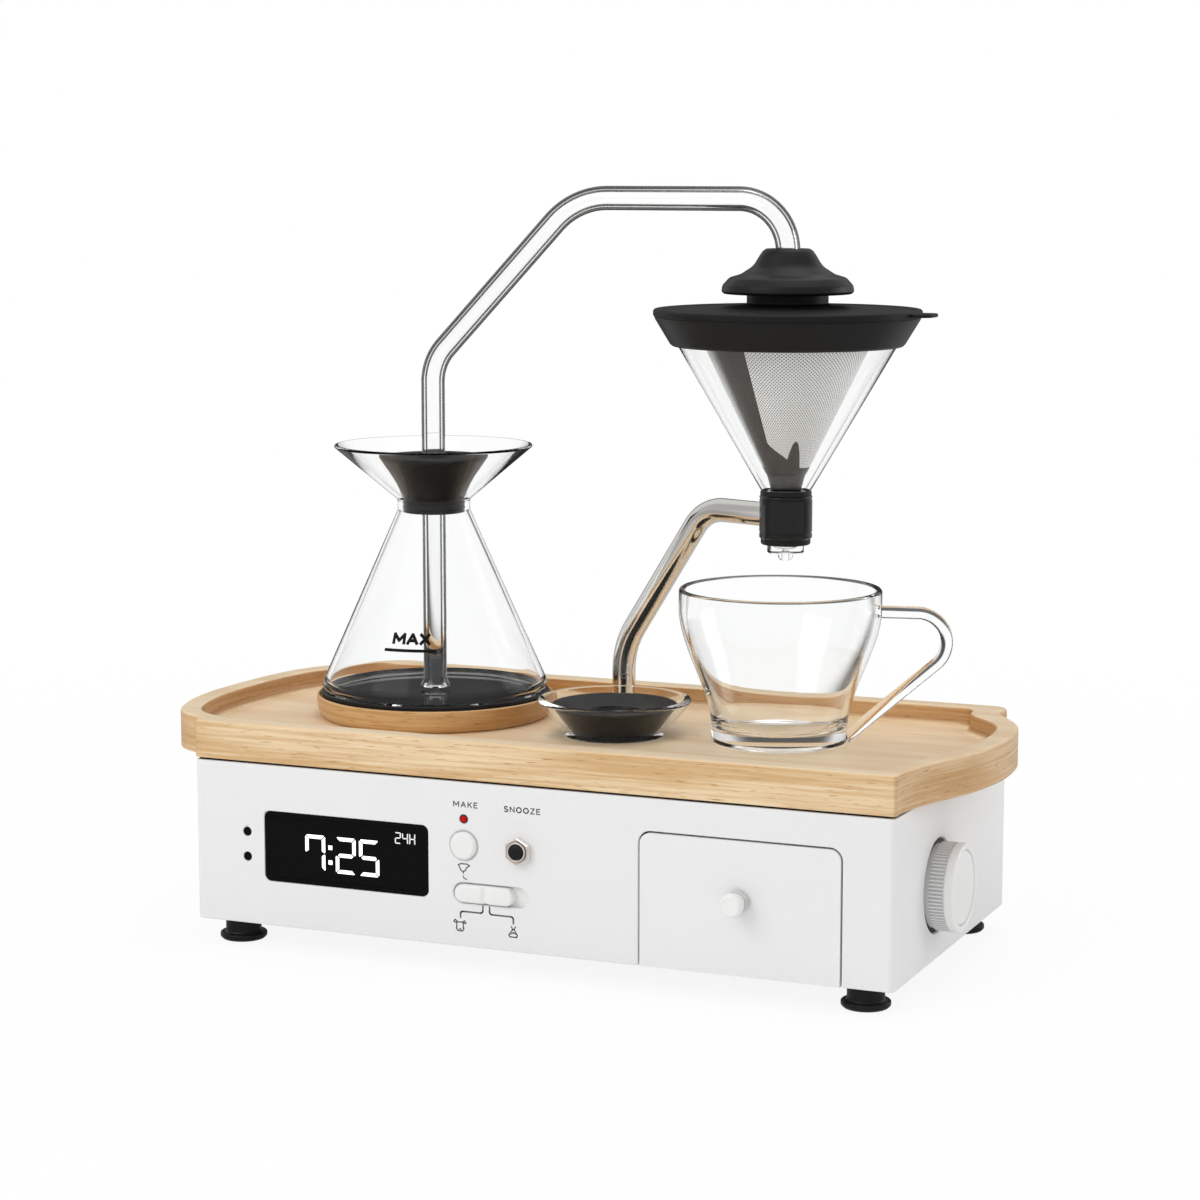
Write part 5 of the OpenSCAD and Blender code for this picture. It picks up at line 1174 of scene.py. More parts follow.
def segment_outlines(sign, left, bottom, width, height, bar, gap):
    """Outlines of the lit bars of one seven-bar sign."""
    right, top = left + width, bottom + height
    mid = bottom + height / 2
    cut = bar * 0.35
    half = bar / 2
    bars = {
        "a": [(left + gap + cut, top), (left + gap + cut / 2, top - cut / 2), (left + bar + gap, top - bar),
              (right - bar - gap, top - bar), (right - gap - cut / 2, top - cut / 2),
              (right - gap - cut, top)],
        "f": [(left, top - gap - cut), (left, mid + gap + cut / 2), (left + half * 0.5, mid + gap),
              (left + bar, mid + half + gap), (left + bar, top - bar - gap),
              (left + cut / 2, top - gap - cut / 2)],
        "g": [(left + half + gap, mid), (left + bar + gap, mid - half), (right - bar - gap, mid - half),
              (right - half - gap, mid), (right - bar - gap, mid + half), (left + bar + gap, mid + half)],
    }
    def over(points, flip_x, flip_z):
        return [(left + right - x if flip_x else x, bottom + top - z if flip_z else z) for x, z in points]
    bars["d"] = over(bars["a"], False, True)
    bars["b"] = over(bars["f"], True, False)
    bars["e"] = over(bars["f"], False, True)
    bars["c"] = over(bars["f"], True, True)
    return [bars[name] for name in SEGMENTS[sign]]


class COFFEECLOCK_OT_controls(bpy.types.Operator):
    """Display, sensor windows, status light, buttons, slide switch and side knob"""
    bl_idname = "coffeeclock.controls"
    bl_label = "Controls"
    bl_options = {"REGISTER"}

    pane_depth = 0.35

    def execute(self, context):
        edge = shape().control_edge
        self.window()
        self.digits()
        dressed("sensor_windows", finish("display_black"), edge / 2)
        self.status_light()
        self.start_button()
        self.snooze_nut()
        dressed("snooze_barrel", finish("nut_steel"), edge / 2)
        self.snooze_button()
        self.slide_pads()
        dressed("slide_switch", finish("white_plastic"), edge / 3)
        self.side_dial()
        dressed("knob_face", finish("white_plastic"), edge / 2)
        return {"FINISHED"}

    def window(self):
        """Dark pane set back in a slim flush frame."""
        at = middle("display_window")
        wide = high("display_window").x - low("display_window").x
        tall = high("display_window").z - low("display_window").z
        open_w, open_h = wide - 4.2, tall - 4.2
        deep = high("display_window").y - FRONT_Y
        loops = ((wide, tall, 2.7, deep), (wide, tall, 2.7, 2.5), (open_w, open_h, 2.6, 2.5),
                 (open_w, open_h, 2.6, 0.2), (open_w - 0.4, open_h - 0.4, 2.4, 0.0),
                 (open_w - 3.4, open_h - 3.4, 1.7, 0.0), (open_w - 3.8, open_h - 3.8, 1.6, self.pane_depth))
        bm = bmesh.new()
        rings = [[bm.verts.new(Vector((at.x + x, FRONT_Y + depth, at.z + z)) * MM)
                  for x, z in corner_loop(w, h, r)] for w, h, r, depth in loops]
        skin(bm, rings)
        bm.faces.new(rings[0])
        bm.faces.new(rings[-1])
        piece("display_pane", sealed(bm), finish("display_black"), "base", ("display_window",),
              25)

    def digits(self):
        tall = shape().digit_height / MM
        mid = middle("display_window")
        foot = mid.z - 8.5
        outlines = []
        for sign, left in (("7", -18.1), ("2", -4.5), ("5", 5.9)):
            outlines += segment_outlines(sign, mid.x + left, foot, 8.9, tall, 1.5, 0.3)
        for rise in (4.1, 10.1):
            x, z, half = mid.x - 6.9, foot + rise, 0.85
            outlines.append([(x - half, z - half), (x + half, z - half), (x + half, z + half),
                             (x - half, z + half)])
        place = Matrix.Translation(Vector((0, FRONT_Y + self.pane_depth + 0.02, 0)) * MM) @ TO_FRONT
        piece("clock_digits", plates(outlines, 0.1, place), finish("digit_light"), "base")
        small = []
        for sign, left in (("2", 21.8), ("4", 24.95), ("H", 28.1)):
            small += segment_outlines(sign, mid.x + left, mid.z + 5.9, 2.6, 4.6, 0.46, 0.08)
        piece("hour_mark", plates(small, 0.1, place), finish("digit_dim"), "base")

    def status_light(self):
        at = middle("status_led")
        at.y = FRONT_Y
        lens = [(0, 0.5), (0.85, 0.38, 0.3), (1.3, 0.1, 0.3), (1.3, -2.5), (2.4, -2.5), (2.4, -4), (0, -4)]
        piece("status_lens", turned(lens, at, TO_FRONT, 64), finish("led_red"), "base", ("status_led",))
        # Black ring round the lens: partly a bezel, partly painted shadow in the hole round the lens.
        ring = [(1.32, -1.5), (1.32, 0.1, 0.08), (1.5, 0.2, 0.08), (1.7, 0.05, 0.05), (1.7, -1.5)]
        piece("status_ring", turned(ring, at, TO_FRONT, 64), finish("black_plastic"), "base")

    def start_button(self):
        at = middle("start_button")
        reach = FRONT_Y - low("start_button").y
        at.y = FRONT_Y
        wide = high("start_button").x - at.x
        back = FRONT_Y - high("start_button").y
        reach = min(reach, 1.6)
        profile = [(0, reach - 0.1), (3.4, reach - 0.05, 2), (4.6, reach, 0.5), (5.5, reach - 1.1, 0.6),
                   (5.5, back + 1.5), (wide, back + 1.5, 0.1), (wide, back, 0.1), (0, back)]
        piece("start_key", turned(profile, at, TO_FRONT, 128), finish("white_plastic"), "start_button",
              ("start_button",))
        # Painted shadow: a grey ring set back in the gap round the key.
        dark_gap = [(5.6, -1.2), (5.6, -0.35, 0.05), (6.3, -0.35, 0.05), (6.3, -1.2)]
        piece("start_gap_shadow", turned(dark_gap, at, TO_FRONT, 128), finish("base_grey"), "base")

    def snooze_nut(self):
        """Six-sided nut with a chamfered face."""
        at = middle("snooze_nut")
        deep = high("snooze_nut").y - low("snooze_nut").y
        bm = bmesh.new()

        def six(k, radius):
            return radius * math.cos(math.pi / 6) / math.cos((k % 16) * math.pi / 48 - math.pi / 6)

        rings = []
        for flat, radius, depth in ((True, 5.55, 0), (True, 5.55, deep - 0.45), (True, 5.2, deep),
                                    (False, 4.35, deep), (False, 4.05, deep - 0.3), (False, 4.05, 0)):
            ring = []
            for k in range(96):
                a = math.pi / 2 + 2 * math.pi * k / 96
                r = six(k, radius) if flat else radius
                ring.append(bm.verts.new(Vector((at.x + r * math.cos(a), FRONT_Y - depth,
                                                 at.z + r * math.sin(a))) * MM))
            rings.append(ring)
        skin(bm, rings, closed=True)
        piece("snooze_hex", sealed(bm), finish("nut_steel"), "base", ("snooze_nut",), 20)

    def slide_pads(self):
        """Switch cap: two soft pads with a valley between them."""
        near, far = low("slide_cap"), high("slide_cap")
        half, reach, valley = 3.55, FRONT_Y - near.y - 0.2, -18.2
        start, end = near.x + 0.7, far.x - 0.6
        count = 80
        bm = bmesh.new()
        rings = []
        for k in range(count + 1):
            x = start + (end - start) * (1 - math.cos(math.pi * k / count)) / 2
            gap = max(0.0, min(x - start, end - x))
            wide = half if gap >= half else max(0.25, math.sqrt(max(0.0, half * half - (half - gap) ** 2)))
            fall = 0.8 * (1 - min(1.0, gap / 1.1)) ** 2
            dip = 0.95 * math.exp(-(((x - valley) / 1.25) ** 4))
            peak = reach - fall - dip
            soft = min(1.0, wide * 0.9)
            section = [(-wide, near.y - far.y + reach + 0.2), (-wide, peak - soft),
                       (-wide + 0.13 * soft, peak - 0.5 * soft), (-wide + 0.45 * soft, peak - 0.13 * soft),
                       (-wide + soft, peak), (wide - soft, peak), (wide - 0.45 * soft, peak - 0.13 * soft),
                       (wide - 0.13 * soft, peak - 0.5 * soft), (wide, peak - soft),
                       (wide, near.y - far.y + reach + 0.2)]
            rings.append([bm.verts.new(Vector((x, FRONT_Y - out, middle("slide_cap").z + z)) * MM)
                          for z, out in section])
        skin(bm, rings)
        bm.faces.new(rings[0])
        bm.faces.new(rings[-1])
        piece("slide_pads", sealed(bm), finish("white_plastic"), "slide_cap", ("slide_cap",),
              60)

    def side_dial(self):
        """Ribbed knob with a plain band at the front and a seat for its face disc."""
        at = middle("rotary_knob")
        base = low("rotary_knob").x
        levels = [(8.4, 3.2, 0), (0, 3.2, 0), (0, 16.2, 0), (1.9, 16.2, 0), (2.0, 17.2, 0.6),
                  (7.6, 17.2, 0.6), (7.7, 16.5, 0), (8.2, 16.5, 0), (8.3, 17.3, 0), (10.8, 17.3, 0),
                  (11.3, 17.1, 0), (11.5, 16.6, 0), (11.5, 15.2, 0), (11.2, 14.8, 0), (10.05, 14.8, 0)]
        bm = bmesh.new()
        rings = []
        for along, radius, rib in levels:
            ring = []
            for k in range(288):
                a = 2 * math.pi * k / 288
                r = radius - (rib if k % 4 > 1 else 0)
                ring.append(bm.verts.new(Vector((base + along, at.y + r * math.cos(a),
                                                 at.z + r * math.sin(a))) * MM))
            rings.append(ring)
        skin(bm, rings)
        bm.faces.new(rings[0])
        bm.faces.new(rings[-1])
        made = piece("side_dial", sealed(bm), finish("white_plastic"), "rotary_knob", ("rotary_knob",),
                     30)
        # Painted shade: the valleys and flanks of the ribs take a greyer finish.
        made.data.materials.append(finish("rib_valley_shade"))
        axis = Vector((0, at.y, at.z)) * MM
        for face in made.data.polygons:
            out = face.center - axis
            across = math.hypot(out.y, out.z) / MM
            if 16.55 < across < 17.0 and 2.1 < face.center.x / MM - base < 7.5:
                face.material_index = 1
        # Painted shadow: a thin black ring behind the knob fills the gap to the housing.
        dark_ring_profile = [(16.4, 0), (18.4, 0), (18.4, 0.25), (16.4, 0.25)]
        piece("dial_gap_shadow", turned(dark_ring_profile, (base - 0.28, at.y, at.z), TO_RIGHT, 128), finish("black_rubber"),
              "base")

    def snooze_button(self):
        at = middle("snooze_button")
        reach = FRONT_Y - low("snooze_button").y
        at.y = FRONT_Y
        back = FRONT_Y - high("snooze_button").y
        profile = [(0, reach), (1.6, reach - 0.08, 1), (2.7, reach - 0.4, 0.5), (3.1, reach - 1.1, 0.4),
                   (3.1, back), (0, back)]
        piece("snooze_key", turned(profile, at, TO_FRONT, 96), finish("black_rubber"), "snooze_button",
              ("snooze_button",))


class COFFEECLOCK_OT_markings(bpy.types.Operator):
    """Printed capitals, lead lines and signs on the front, and the level mark on the flask"""
    bl_idname = "coffeeclock.markings"
    bl_label = "Markings"
    bl_options = {"REGISTER"}

    ink_t = 0.04

    def execute(self, context):
        self.panel_words()
        self.panel_signs()
        self.level_mark()
        return {"FINISHED"}

    def on_panel(self, x=0.0, z=0.0):
        return Matrix.Translation(Vector((x, FRONT_Y + 0.01, z)) * MM) @ TO_FRONT

    def panel_words(self):
        tall = shape().print_height / MM
        for name, word, x, z, width in (("make_word", "MAKE", -26.9, 66.2, 10.5),
                                        ("snooze_word", "SNOOZE", -2.7, 65.9, 15.4)):
            mesh = plates(letters(word, width, tall, 0.44, 0.95), self.ink_t, self.on_panel(x, z))
            piece(name, mesh, finish("panel_ink"), "base")

    def panel_signs(self):
        line = 0.5
        rounds = []
        left = bend([(-19.6, 26.5), (-19.6, 23.6), (-29.25, 23.6), (-29.25, 21.0)], 1.1)
        right = bend([(-16.75, 26.5), (-16.75, 23.4), (-6.6, 23.4), (-6.6, 20.7)], 1.1)
        for path in (left, right):
            rounds += stroke(path, 0.65)
        funnel = [(-30.1, 42.1), (-28.9, 42.6), (-26.3, 42.6), (-25.2, 42.0), (-26.3, 41.4), (-27.2, 39.9),
                  (-28.0, 39.5), (-28.9, 39.9), (-29.7, 41.5)]
        rounds += stroke(funnel, line, closed=True)
        rounds += stroke([(-28.0, 39.5), (-28.0, 38.7)], line)
        rounds += stroke(bend([(-28.0, 37.8), (-27.7, 36.9), (-26.4, 36.5)], 0.4), line * 0.8)
        head = bend([(-30.9, 19.2), (-30.9, 17.4), (-31.1, 16.6), (-30.4, 15.7), (-28.5, 15.7), (-27.9, 16.6),
                     (-28.1, 17.4), (-28.1, 19.2)], 0.4)
        rounds += stroke(head, line, closed=True)
        rounds += stroke([(-30.9, 18.8), (-32.2, 19.2), (-31.6, 20.1), (-30.7, 19.4)], line)
        rounds += stroke([(-28.1, 18.8), (-27.0, 18.9), (-27.5, 19.8), (-28.3, 19.4)], line)
        rounds += stroke([(-29.9, 16.4), (-29.1, 16.4)], line)
        body = bend([(-7.5, 19.6), (-6.9, 18.4), (-8.5, 16.2), (-8.1, 15.4), (-5.3, 15.4), (-4.9, 16.2),
                     (-6.3, 18.4), (-5.7, 19.6)], 0.3)
        rounds += stroke(body, line)
        rounds += stroke([(-6.9, 18.4), (-6.3, 18.4)], line)
        rounds += stroke([(-7.6, 16.6), (-6.6, 17.2), (-5.6, 16.6)], line)
        piece("panel_signs", plates(rounds, self.ink_t, self.on_panel()), finish("panel_ink"), "base")

    def level_mark(self):
        """Capitals and a line bent round the flask's cone."""
        foot = FLASK_AT.z + 5.5
        slope = (47.2 - 15.1) / (78 - 5.5)

        def wrap(mesh, angle, height):
            for v in mesh.vertices:
                z = height + v.co.y / MM
                radius = 47.2 - (z - foot) * slope + v.co.z / MM + 0.01
                a = math.radians(angle) + v.co.x / MM / 38.0
                v.co = Vector((FLASK_AT.x + radius * math.cos(a), FLASK_AT.y + radius * math.sin(a), z)) * MM
            return mesh

        word = plates(letters("MAX", 16.6, 4.9, 1.3, 1.1), self.ink_t, UP)
        piece("level_word", wrap(word, -79.0, 120.4), finish("level_ink"), "flask")
        steps = 24
        bm = bmesh.new()
        rings = [[bm.verts.new(Vector((21.9 * (k / steps - 0.5), dy, dz)) * MM)
                  for dy, dz in ((-0.6, 0), (0.6, 0), (0.6, self.ink_t), (-0.6, self.ink_t))]
                  for k in range(steps + 1)]
        skin(bm, rings)
        bm.faces.new(rings[0])
        bm.faces.new(rings[-1])
        piece("level_line", wrap(sealed(bm), -79.3, 115.85), finish("level_ink"), "flask")


def bend(points, radius):
    """A line whose inner corners are rounded."""
    made = [points[0]]
    for before, corner, after in zip(points, points[1:], points[2:]):
        made += arc_corner(before, corner, after, radius, 5)
    return made + [points[-1]]


class COFFEECLOCK_OT_flask(bpy.types.Operator):
    """Flask, its rubber ring, stopper, seals, riser tube and dispenser cap"""
    bl_idname = "coffeeclock.flask"
    bl_label = "Flask and riser"
    bl_options = {"REGISTER"}

    def execute(self, context):
        profile = [(0, 0), (44.2, 0, 1.2), (46.3, 1.8, 2), (47.2, 5.5, 4), (15.1, 78, 2), (15.1, 82.5, 2),
                   (41.3, 104.6, 0.5), (40.9, 105.4, 0.4), (39.6, 105.4, 0.5), (13.1, 83.2, 2), (13.1, 78, 2),
                   (44.8, 6.1, 5), (42.2, 2.6, 2), (0, 2)]
        piece("flask_glass", turned(profile, FLASK_AT, segments=192), finish("thin_glass"), "flask",
              ("flask",))
        ring = [(44.3, 0, 0.1), (47.0, 0, 0.4), (47.6, 0.7, 0.5), (47.6, 2.3, 0.5), (47.2, 2.7, 0.3),
                (46.6, 2.7, 0.1), (46.4, 1.8, 0.5)]
        piece("flask_ring", turned(ring, FLASK_AT, segments=192), finish("black_rubber"), "flask",
              ("flask_base_ring",))
        self.stopper()
        self.riser()
        self.cap()
        return {"FINISHED"}

    def stopper(self):
        base = low("flask_stopper").z
        top = high("flask_stopper").z - base
        at = (FLASK_AT.x, FLASK_AT.y, base)
        side = [(13.4 + 9.4 * (0.55 * (1 - math.cos(math.radians(15 * k))) + 0.45 * k / 6),
                 7.1 + 14.9 * k / 6) for k in range(1, 6)]
        profile = [(4.95, 0, 0.2), (12.3, 0, 0.4), (12.8, 0.5, 0.3), (12.8, 6.1, 0.4),
                   (13.4, 7.1, 0.6)] + side + [
            (22.8, top - 1.4, 0.4), (22.8, top - 0.6, 0.4), (22.2, top, 0.5), (19.6, top, 0.5),
            (18.8, top - 0.8, 0.5), (8.2, top - 0.8, 0.4), (7.6, top, 0.4), (4.95, top, 0.3)]
        piece("stopper_plug", turned(profile, at), finish("black_rubber"), "riser", ("flask_stopper",))
        bm = bmesh.new()
        for z in (low("stopper_rings").z + 0.9, high("stopper_rings").z - 0.9):
            bead = [(12.14 + 0.9 * math.cos(a), z + 0.9 * math.sin(a))
                    for a in (2 * math.pi * k / 20 for k in range(20))]
            part = turned(bead, (FLASK_AT.x, FLASK_AT.y, 0), segments=128)
            bm.from_mesh(part)
            bpy.data.meshes.remove(part)
        piece("seal_beads", sealed(bm), finish("black_rubber"), "riser", ("stopper_rings",))

    def riser(self):
        foot = low("riser_tube").z
        slope, radius = 46.3, 4.85
        turn = 90 - slope
        low_bend, high_bend, end_bend = 21.0, 32.5, 20.5
        elbow, top = FLOOR_Z + 147.9, FLOOR_Z + 215.6
        rise = top - elbow
        low_cut = low_bend * math.tan(math.radians(turn / 2))
        high_cut = high_bend * math.tan(math.radians(slope / 2))
        end = high("dispenser_cap").z - 14.6
        steps = ((elbow - foot - low_cut, turn, low_bend),
                 (rise / math.sin(math.radians(slope)) - low_cut - high_cut, slope, high_bend),
                 (DRIP_AT.x - FLASK_AT.x - rise / math.tan(math.radians(slope)) - high_cut - end_bend, 90,
                  end_bend),
                 (top - end_bend - end, 0, 0))
        place = Matrix.Translation(Vector((FLASK_AT.x, FLASK_AT.y, foot)) * MM)
        mesh = bent_tube(steps, place, radius, 3.3, 0.6, 1.6, 64)
        piece("riser_glass", mesh, finish("tube_glass"), "riser", ("riser_tube",), 50)

    def cap(self):
        base = low("dispenser_cap").z
        at = (DRIP_AT.x, DRIP_AT.y, base)
        neck = 3.4
        brim = neck + 4.0
        top = high("dispenser_cap").z - base
        profile = [(3.3, 0, 0.2), (12, 0, 0.4), (12, neck, 0.2), (16.1, neck, 0.4), (16.1, brim, 0.6),
                   (23.5, brim, 0.4), (25.2, brim - 0.0, 0.3), (26.1, brim + 0.9, 0.6),
                   (25.8, brim + 3.2, 2.6), (23.0, brim + 6.3, 3.2), (18.6, brim + 7.6, 5),
                   (13.6, brim + 10.8, 8), (11.0, brim + 15.2, 4), (9.9, top - 0.9, 1.2), (8.6, top, 0.9),
                   (5.6, top, 0.5), (4.95, top - 0.7, 0.2), (4.95, brim + 2.8), (3.3, brim + 2.8)]
        piece("dispenser_bell", turned(profile, at), finish("black_rubber"), "riser", ("dispenser_cap",),
              60)


class COFFEECLOCK_OT_dripper(bpy.types.Operator):
    """Support arm, collar, gasket, glass cone, filter ring, mesh and lid"""
    bl_idname = "coffeeclock.dripper"
    bl_label = "Dripper"
    bl_options = {"REGISTER"}

    def execute(self, context):
        self.arm()
        axis = (DRIP_AT.x, DRIP_AT.y, 0)
        foot, top = low("collar").z, high("collar").z
        collar = [(8.6, foot), (10.0, foot, 0.3), (10.5, foot + 0.5, 0.2), (10.5, foot + 1.9, 0.1),
                  (10.2, foot + 2.1, 0.1), (10.2, foot + 2.5, 0.1), (10.5, foot + 2.7, 0.1),
                  (10.5, top - 1.9, 0.1), (10.2, top - 1.7, 0.1), (10.2, top - 1.3, 0.1),
                  (10.5, top - 1.1, 0.1), (10.5, top - 0.5, 0.3), (10.0, top, 0.3), (8.6, top)]
        piece("collar_band", turned(collar, axis, segments=192), finish("black_gloss"), "base", ("collar",))
        lip, bead = low("cone_gasket").z, high("cone_gasket").z
        gasket = [(7.4, lip, 0.2), (9.4, lip, 0.4), (9.9, lip + 0.5, 0.3), (9.9, foot - 0.02),
                  (8.5, foot - 0.02), (8.5, top + 0.02), (10.2, top + 0.02, 0.1), (10.2, bead - 0.6, 0.5),
                  (9.6, bead, 0.4), (7.4, bead, 0.1)]
        piece("gasket_sleeve", turned(gasket, axis, segments=160), finish("black_rubber"), "base",
              ("cone_gasket",))
        self.cone(axis, bead)
        self.filter(axis)
        return {"FINISHED"}

    def arm(self):
        """Bright tube that rises from the tray and bends over to the collar."""
        foot = Vector((-10.0, 47.0, low("support_arm").z))
        flat = Vector((DRIP_AT.x - foot.x, DRIP_AT.y - foot.y))
        slope, radius = 53.8, 4.8
        turn = 90 - slope
        low_bend, high_bend = 32.0, 19.0
        elbow = FLOOR_Z + 28.9
        rise = middle("collar").z - elbow
        low_cut = low_bend * math.tan(math.radians(turn / 2))
        high_cut = high_bend * math.tan(math.radians(slope / 2))
        reach = flat.length - 10.5 + 1.3
        steps = ((elbow - foot.z - low_cut, turn, low_bend),
                 (rise / math.sin(math.radians(slope)) - low_cut - high_cut, slope, high_bend),
                 (reach - rise / math.tan(math.radians(slope)) - high_cut, 0, 0))
        place = Matrix.Translation(foot * MM) @ Matrix.Rotation(math.atan2(flat.y, flat.x), 4, "Z")
        mesh = bent_tube(steps, place, radius, radius - 1.2, 0.3, 0.0, 64)
        piece("arm_tube", mesh, finish("polished_steel"), "base", ("support_arm",), 50)

    def cone(self, axis, seat):
        tip = low("dripper_cone").z
        rim = high("dripper_cone").z
        spout = tip + 2.8
        slope = (46.4 - 10) / (rim - seat)
        wall = 2 * math.sqrt(1 + slope * slope)
        profile = [(1.3, tip, 0.2), (2.0, tip, 0.5), (2.8, tip + 1, 0.8), (3.4, spout, 0.4),
                   (6.7, spout, 0.6), (7.3, spout + 0.6, 0.3), (7.3, seat, 0.2), (10, seat, 0.5),
                   (46.4, rim - 0.3, 0.3), (46.0, rim, 0.3), (46.4 - wall, rim, 0.4),
                   (4.5, seat - (10 - wall - 4.5) / slope, 3), (4.5, spout + 2.4, 0.8),
                   (1.3, spout + 1.2, 0.3)]
        piece("dripper_glass", turned(profile, axis, segments=192), finish("thin_glass"), "base",
              ("dripper_cone",))

    def filter(self, axis):
        bottom, top = low("filter_ring").z, high("filter_ring").z
        rim = high("dripper_cone").z
        skirt = 46.4 - 5.7 * 36.4 / 62.7 + 0.3
        ring = [(skirt, bottom, 0.3), (skirt + 2.0, bottom, 0.8), (skirt + 3, bottom + 0.9, 0.8),
                (52.2, top - 1.0, 0.5), (52.6, top, 0.2), (34.2, top), (34.2, rim), (46.7, rim)]
        piece("filter_band", turned(ring, axis, segments=192), finish("black_rubber"), "base",
              ("filter_ring",))
        tip = low("mesh_filter").z
        foot = tip + 6.4
        thin = 0.25
        cloth = [(0, tip), (5.8, tip, 0.5), (6.2, tip + 0.6, 0.3), (7.6, foot - 0.6, 0.3), (8.2, foot, 0.4),
                 (36, rim), (36 - thin, rim), (8.2 - thin, foot, 0.4), (6.2 - thin, tip + 1.0, 0.3),
                 (5.6, tip + thin, 0.3), (0, tip + thin)]
        piece("filter_mesh", turned(cloth, axis, segments=192), finish("steel_mesh"), "base",
              ("mesh_filter",))
        self.lid(axis, top)

    def lid(self, axis, seat):
        peak = high("filter_lid").z
        edge = 53.0
        profile = [(12.3, seat), (52.5, seat, 0.3), (edge, seat + 0.6, 0.3), (edge, seat + 2.4, 0.5),
                   (52.4, seat + 3, 0.5), (50.6, seat + 3, 0.4), (49.8, seat + 2.4, 0.4),
                   (17.6, peak - 0.4, 0.6), (16.8, peak, 0.5), (12.3, peak, 0.3)]
        bm = bmesh.new()
        disc = turned(profile, axis, segments=192)
        bm.from_mesh(disc)
        bpy.data.meshes.remove(disc)
        outline = corner_loop(10.0, 14.0, 3.9)
        rings = []
        for grow, rise in ((-0.35, 0.8), (0, 1.1), (0, 1.85), (-0.35, 2.2)):
            rings.append([bm.verts.new(Vector((axis[0] + edge + 2.5 + x * (1 + grow / 5),
                                               axis[1] + y * (1 + grow / 7), seat + rise)) * MM)
                          for x, y in outline])
        skin(bm, rings)
        bm.faces.new(rings[0])
        bm.faces.new(rings[-1])
        piece("lid_disc", sealed(bm), finish("lid_black"), "base", ("filter_lid",))


class COFFEECLOCK_OT_cup(bpy.types.Operator):
    """Glass cup with its rod handle, milk vessel and milk stopper"""
    bl_idname = "coffeeclock.cup"
    bl_label = "Cup and milk vessel"
    bl_options = {"REGISTER"}

    def execute(self, context):
        self.cup()
        self.vessel()
        self.milk_stopper()
        return {"FINISHED"}

    @staticmethod
    def cup_radius(z):
        t = min(1.0, max(0.0, (z - 5) / 49))
        return 27.3 + 13.2 * t * t * (3 - 2 * t)

    def cup(self):
        axis = Vector((DRIP_AT.x - 1.3, DRIP_AT.y - 2.0, CUP_FOOT_Z))
        wall, tall, floor = 2.4, 61.7, 5.0
        levels = [5 + 49 * k / 28 for k in range(29)]
        outer = [(self.cup_radius(z), z) for z in levels]
        inner = [(self.cup_radius(z) - wall, z) for z in reversed(levels) if z > floor + 4.5]
        profile = ([(0, 1.2), (22.3, 1.2, 0.6), (23.3, 0, 0.6), (26.7, 0, 0.6), (27.3, 0.6, 0.6)] + outer
                   + [(40.5, tall - 0.9, 0.6), (39.9, tall, 0.7), (38.7, tall, 0.7),
                      (38.1, tall - 0.9, 0.5)] + inner
                   + [(21.3, floor, 4), (0, floor)])
        mesh = turned(profile, axis, segments=192)
        rod, height, bend_r, foot_z = 2.5, 53.2, 11.5, 2.2
        start = self.cup_radius(height) - wall / 2
        run = 14.4 + wall / 2
        down = Vector((start + run - (27.3 - 0.5), height - bend_r - foot_z))
        last = math.sqrt(down.length_squared - bend_r * bend_r)
        turn = 180 + math.degrees(math.atan2(down.x, down.y)) - math.degrees(math.atan2(last, bend_r))
        place = (Matrix.Translation(axis * MM) @ Matrix.Rotation(math.radians(12), 4, "Z")
                 @ Matrix.Translation(Vector((start, 0, height)) * MM) @ TO_RIGHT)
        handle = bent_tube(((run, turn, bend_r), (last, 0, 0)), place, rod, 0.0, 0.4, 0.0, 40)
        piece("cup_glass", fused(mesh, handle), finish("cup_clear"), "cup", ("cup",), 50)

    def vessel(self):
        at = middle("milk_vessel")
        base = low("milk_vessel").z
        seat, rim = FLOOR_Z + 0.2, high("milk_vessel").z
        slope = (31.4 - 20.6) / 13.4
        mouth = 31.4 - 3 * math.sqrt(1 + slope * slope)
        throat = rim - 0.8 - (mouth - 16.4) / slope
        profile = [(0, base), (15.4, base, 1.0), (17.5, base + 0.9, 1.5), (18.4, base + 3, 1.5),
                   (18.4, seat, 0.2), (20.6, seat, 0.5), (20.6, seat + 0.6, 0.6), (31.4, rim - 0.8, 0.8),
                   (30.8, rim, 0.7), (mouth + 0.6, rim, 0.7), (mouth, rim - 0.8, 0.8), (16.4, throat, 2),
                   (16.4, base + 3.4, 1), (15, base + 2, 1), (0, base + 2)]
        piece("milk_glass", turned(profile, (at.x, at.y, 0), segments=192), finish("thin_glass"),
              "milk_vessel", ("milk_vessel",))

    def milk_stopper(self):
        at = middle("milk_stopper")
        base, top = low("milk_stopper").z, high("milk_stopper").z
        tall = top - base
        wide = high("milk_stopper").x - at.x
        slope = (31.4 - 20.6) / 13.4
        foot = wide - (tall - 0.6) * slope
        profile = [(0, 0), (foot + 0.0, 0, 0.5), (foot + 0.5, 0.7, 0.4), (wide, tall - 0.6, 0.4),
                   (wide - 0.5, tall, 0.4), (wide - 2.4, tall, 0.6), (14.2, tall - 3.6, 1.5),
                   (13.6, tall - 3.6, 0.3), (13.1, tall - 3.1, 0.3), (11.6, tall - 3.1, 0.3),
                   (11.0, tall - 4.4, 0.5), (0, tall - 4.4)]
        piece("milk_plug", turned(profile, (at.x, at.y, base)), finish("black_rubber"), "milk_stopper",
              ("milk_stopper",))


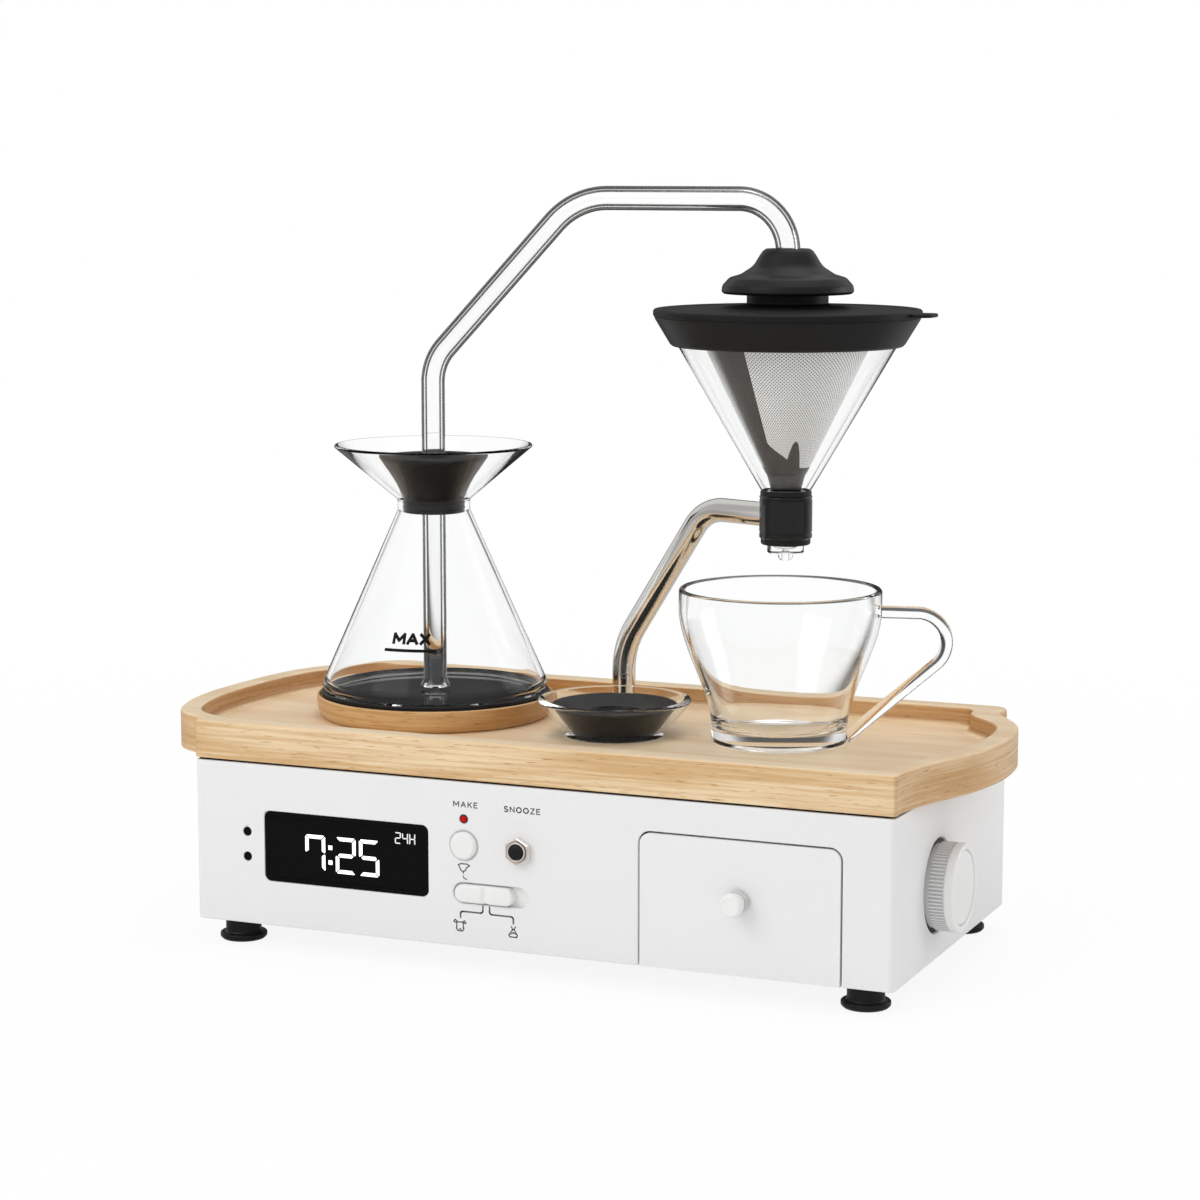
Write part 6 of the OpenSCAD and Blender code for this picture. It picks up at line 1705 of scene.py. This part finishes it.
def fused(first, second):
    """One mesh from two that overlap."""
    scene = bpy.context.scene
    base = bpy.data.objects.new("fuse_base", first)
    tool = bpy.data.objects.new("fuse_tool", second)
    for part in (base, tool):
        scene.collection.objects.link(part)
    union = base.modifiers.new("Fuse", "BOOLEAN")
    union.operation = "UNION"
    union.solver = "EXACT"
    union.object = tool
    graph = bpy.context.evaluated_depsgraph_get()
    mesh = bpy.data.meshes.new_from_object(base.evaluated_get(graph))
    bpy.data.objects.remove(base)
    bpy.data.objects.remove(tool)
    return mesh


class COFFEECLOCK_OT_works(bpy.types.Operator):
    """Finishes of the pieces inside the housing and under the tray"""
    bl_idname = "coffeeclock.works"
    bl_label = "Inner works"
    bl_options = {"REGISTER"}

    def execute(self, context):
        inside = {
            "base_screws": "screw_steel", "tray_screws": "screw_steel", "drawer_knob_screw": "screw_steel",
            "display_module": "board_green", "control_board": "board_green", "power_board": "board_green",
            "start_switch": "black_plastic", "encoder": "aluminium", "knob_shaft": "aluminium",
            "drawer_rails": "aluminium", "power_inlet": "black_plastic", "speaker": "black_plastic",
            "heater_pan": "black_plastic", "induction_coil": "copper", "arm_nut": "screw_steel",
            "cooling_well": "aluminium", "cooler_tile": "ceramic_white", "heat_sink": "aluminium",
        }
        for node, slot in inside.items():
            dressed(node, finish(slot), 0.12 * MM)
        return {"FINISHED"}


class COFFEECLOCK_PT_panel(bpy.types.Panel):
    """Lists the steps that build the clock"""
    bl_label = "Coffee maker alarm clock"
    bl_idname = "COFFEECLOCK_PT_panel"
    bl_space_type = "VIEW_3D"
    bl_region_type = "UI"
    bl_category = "Coffee clock"

    def draw(self, context):
        for step in STEPS:
            self.layout.operator(step.bl_idname)
        for group in (context.scene.clock_finish, context.scene.clock_shape, context.scene.clock_stage):
            for name in group.__annotations__:
                self.layout.prop(group, name)


STEPS = (COFFEECLOCK_OT_stage, COFFEECLOCK_OT_body, COFFEECLOCK_OT_tray, COFFEECLOCK_OT_controls,
         COFFEECLOCK_OT_markings, COFFEECLOCK_OT_flask, COFFEECLOCK_OT_dripper, COFFEECLOCK_OT_cup,
         COFFEECLOCK_OT_works)
CLASSES = (ClockFinish, ClockShape, ClockStage) + STEPS + (COFFEECLOCK_PT_panel,)


def register():
    for item in CLASSES:
        bpy.utils.register_class(item)
    bpy.types.Scene.clock_finish = bpy.props.PointerProperty(type=ClockFinish)
    bpy.types.Scene.clock_shape = bpy.props.PointerProperty(type=ClockShape)
    bpy.types.Scene.clock_stage = bpy.props.PointerProperty(type=ClockStage)


def unregister():
    del bpy.types.Scene.clock_stage
    del bpy.types.Scene.clock_shape
    del bpy.types.Scene.clock_finish
    for item in reversed(CLASSES):
        bpy.utils.unregister_class(item)


def main():
    register()
    bpy.ops.coffeeclock.stage()
    bpy.ops.coffeeclock.body()
    bpy.ops.coffeeclock.tray()
    bpy.ops.coffeeclock.controls()
    bpy.ops.coffeeclock.markings()
    bpy.ops.coffeeclock.flask()
    bpy.ops.coffeeclock.dripper()
    bpy.ops.coffeeclock.cup()
    bpy.ops.coffeeclock.works()


if __name__ == "__main__":
    main()
